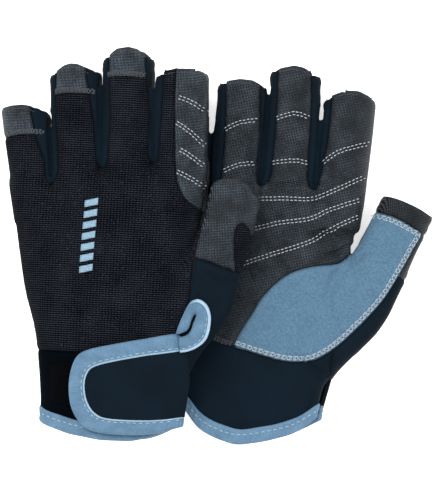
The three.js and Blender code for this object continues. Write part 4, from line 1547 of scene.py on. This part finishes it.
def hem_threads(glove, t):
    """The straight row that holds the hem tape, on both faces."""
    for side in (1, -1):
        x = np.linspace(-33, 33 if glove.back > 0 else 30, 90)
        line = np.stack([x, hem_rise(glove, x) + 4.6], 1)
        t.row("blue", line, side, pitch=2.9, length=2.1, width=0.46, height=0.22, extra=0.72, place=bare)


def bare(glove, xy, side, extra=0.0):
    """Like on_panel, but over the smooth glove: the hem's tape hides the creases."""
    return glove.lift(xy, side, extra)


def tab_threads(glove, t):
    """The row that holds the tab's tape."""
    outer, inner, _ = matched_curves(glove, 170)
    line = (outer * 0.2 + inner * 0.8)[4:-4]

    def place(glove, xy, side, extra=0.0):
        return over_back(glove, xy, np.full(len(xy), 5.22 + extra))

    t.row("blue-tab", line, glove.back, 2.9, length=2.0, width=0.46, height=0.22, extra=0.0, place=place)


def vent_threads(glove, t):
    """The row along the loop of tape, on the length that climbs back over."""
    across = np.array(LOOP)
    outer, inner = spline(across[:, :2], 120), spline(across[:, 2:], 120)
    line = (outer * 0.76 + inner * 0.24)[66:]

    def place(glove, xy, side, extra=0.0):
        run = np.linspace(0.55, 1, len(xy))
        return over_side(glove, xy, 2.85 + 1.15 * np.clip((run - 0.62) / 0.38, 0, 1) + extra)

    t.row("blue-vent", line, glove.back, 2.7, length=1.8, width=0.42, height=0.22, extra=0.0, place=place)


# ---- Build both gloves -------------------------------------------------------
def build_glove(spec):
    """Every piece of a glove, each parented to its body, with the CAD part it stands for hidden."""
    glove = Glove(spec)
    body, tab_body = glove.name + "_glove", glove.name + "_tab"
    pieces = build_shell(glove)
    pieces["hem_binding"] = hem_binding(glove)
    pieces["tab_binding"], pieces["tab"] = tab_pieces(glove)
    pieces["tab_hook"] = patch_piece(glove, "tab_hook", ((-5.9, 15.2), (13.3, 33.5)), 1.5, 2.6)
    pieces["loop_patch"] = patch_piece(glove, "loop_patch", ((-28.6, 16), (14, 36.6)), 0.1, 1.15)
    pieces["vent_binding"] = vent_binding(glove)
    if glove.back > 0:
        pieces["printed_mark"] = printed_mark(glove)
    for name, obj in pieces.items():
        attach(obj, tab_body if name.startswith("tab") else body)
        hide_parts(glove.name + "_" + name)
    threads = sew(glove)
    hem_threads(glove, threads)
    tab_threads(glove, threads)
    vent_threads(glove, threads)
    for key, obj in threads.build().items():
        obj.name = glove.name + "_" + key.replace("-", "_") + "_stitches"
        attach(obj, tab_body if key.endswith("-tab") else body)


build_glove(RIGHT)
build_glove(LEFT)


# ---- Floor, light and camera -------------------------------------------------
def floor_look():
    """Paper white, lit a little from within so that it stays as pale as the photo's background."""
    n = Nodes("paper_floor", (0.95, 0.95, 0.95), 0.9)
    n.shader.inputs["Emission Color"].default_value = (1, 1, 1, 1)
    n.shader.inputs["Emission Strength"].default_value = 0.6
    return n.finish(specular=0.1)


def add_light(name, place, size, power, color=(1, 1, 1)):
    """A round soft light that shines on the middle of the pair."""
    data = bpy.data.lights.new(name, "AREA")
    data.shape = "DISK"
    data.size = size
    data.energy = power
    data.color = color
    obj = bpy.data.objects.new(name, data)
    bpy.context.scene.collection.objects.link(obj)
    obj.location = place
    obj.rotation_euler = (-Vector(place)).to_track_quat("-Z", "Y").to_euler()


FLOOR_HALF, FLOOR_Z = 3, -0.001
corners = [(x * FLOOR_HALF, y * FLOOR_HALF, FLOOR_Z) for x, y in ((-1, -1), (1, -1), (1, 1), (-1, 1))]
floor = mesh_object("floor", corners, [(0, 1, 2, 3)], False)
floor.data.materials.append(floor_look())

add_light("key", (-0.5, 0.75, 1.5), 1.0, 22)
add_light("fill", (0.9, 0.3, 1.3), 1.2, 9, (0.97, 0.98, 1.0))
add_light("front", (0.1, -1.0, 1.2), 1.0, 5)
world = bpy.data.worlds.new("studio")
bpy.context.scene.world = world
world.use_nodes = True
world.node_tree.nodes["Background"].inputs["Color"].default_value = (1, 1, 1, 1)
world.node_tree.nodes["Background"].inputs["Strength"].default_value = 0.75

camera_data = bpy.data.cameras.new("camera")
camera_data.lens = 226
camera_data.sensor_width = 36
camera_data.clip_end = 20
camera = bpy.data.objects.new("camera", camera_data)
bpy.context.scene.collection.objects.link(camera)
camera.location = (0, 0, 1.52)
camera.rotation_euler = (0, 0, 0)
bpy.context.scene.camera = camera
bpy.context.scene.view_settings.view_transform = "Standard"
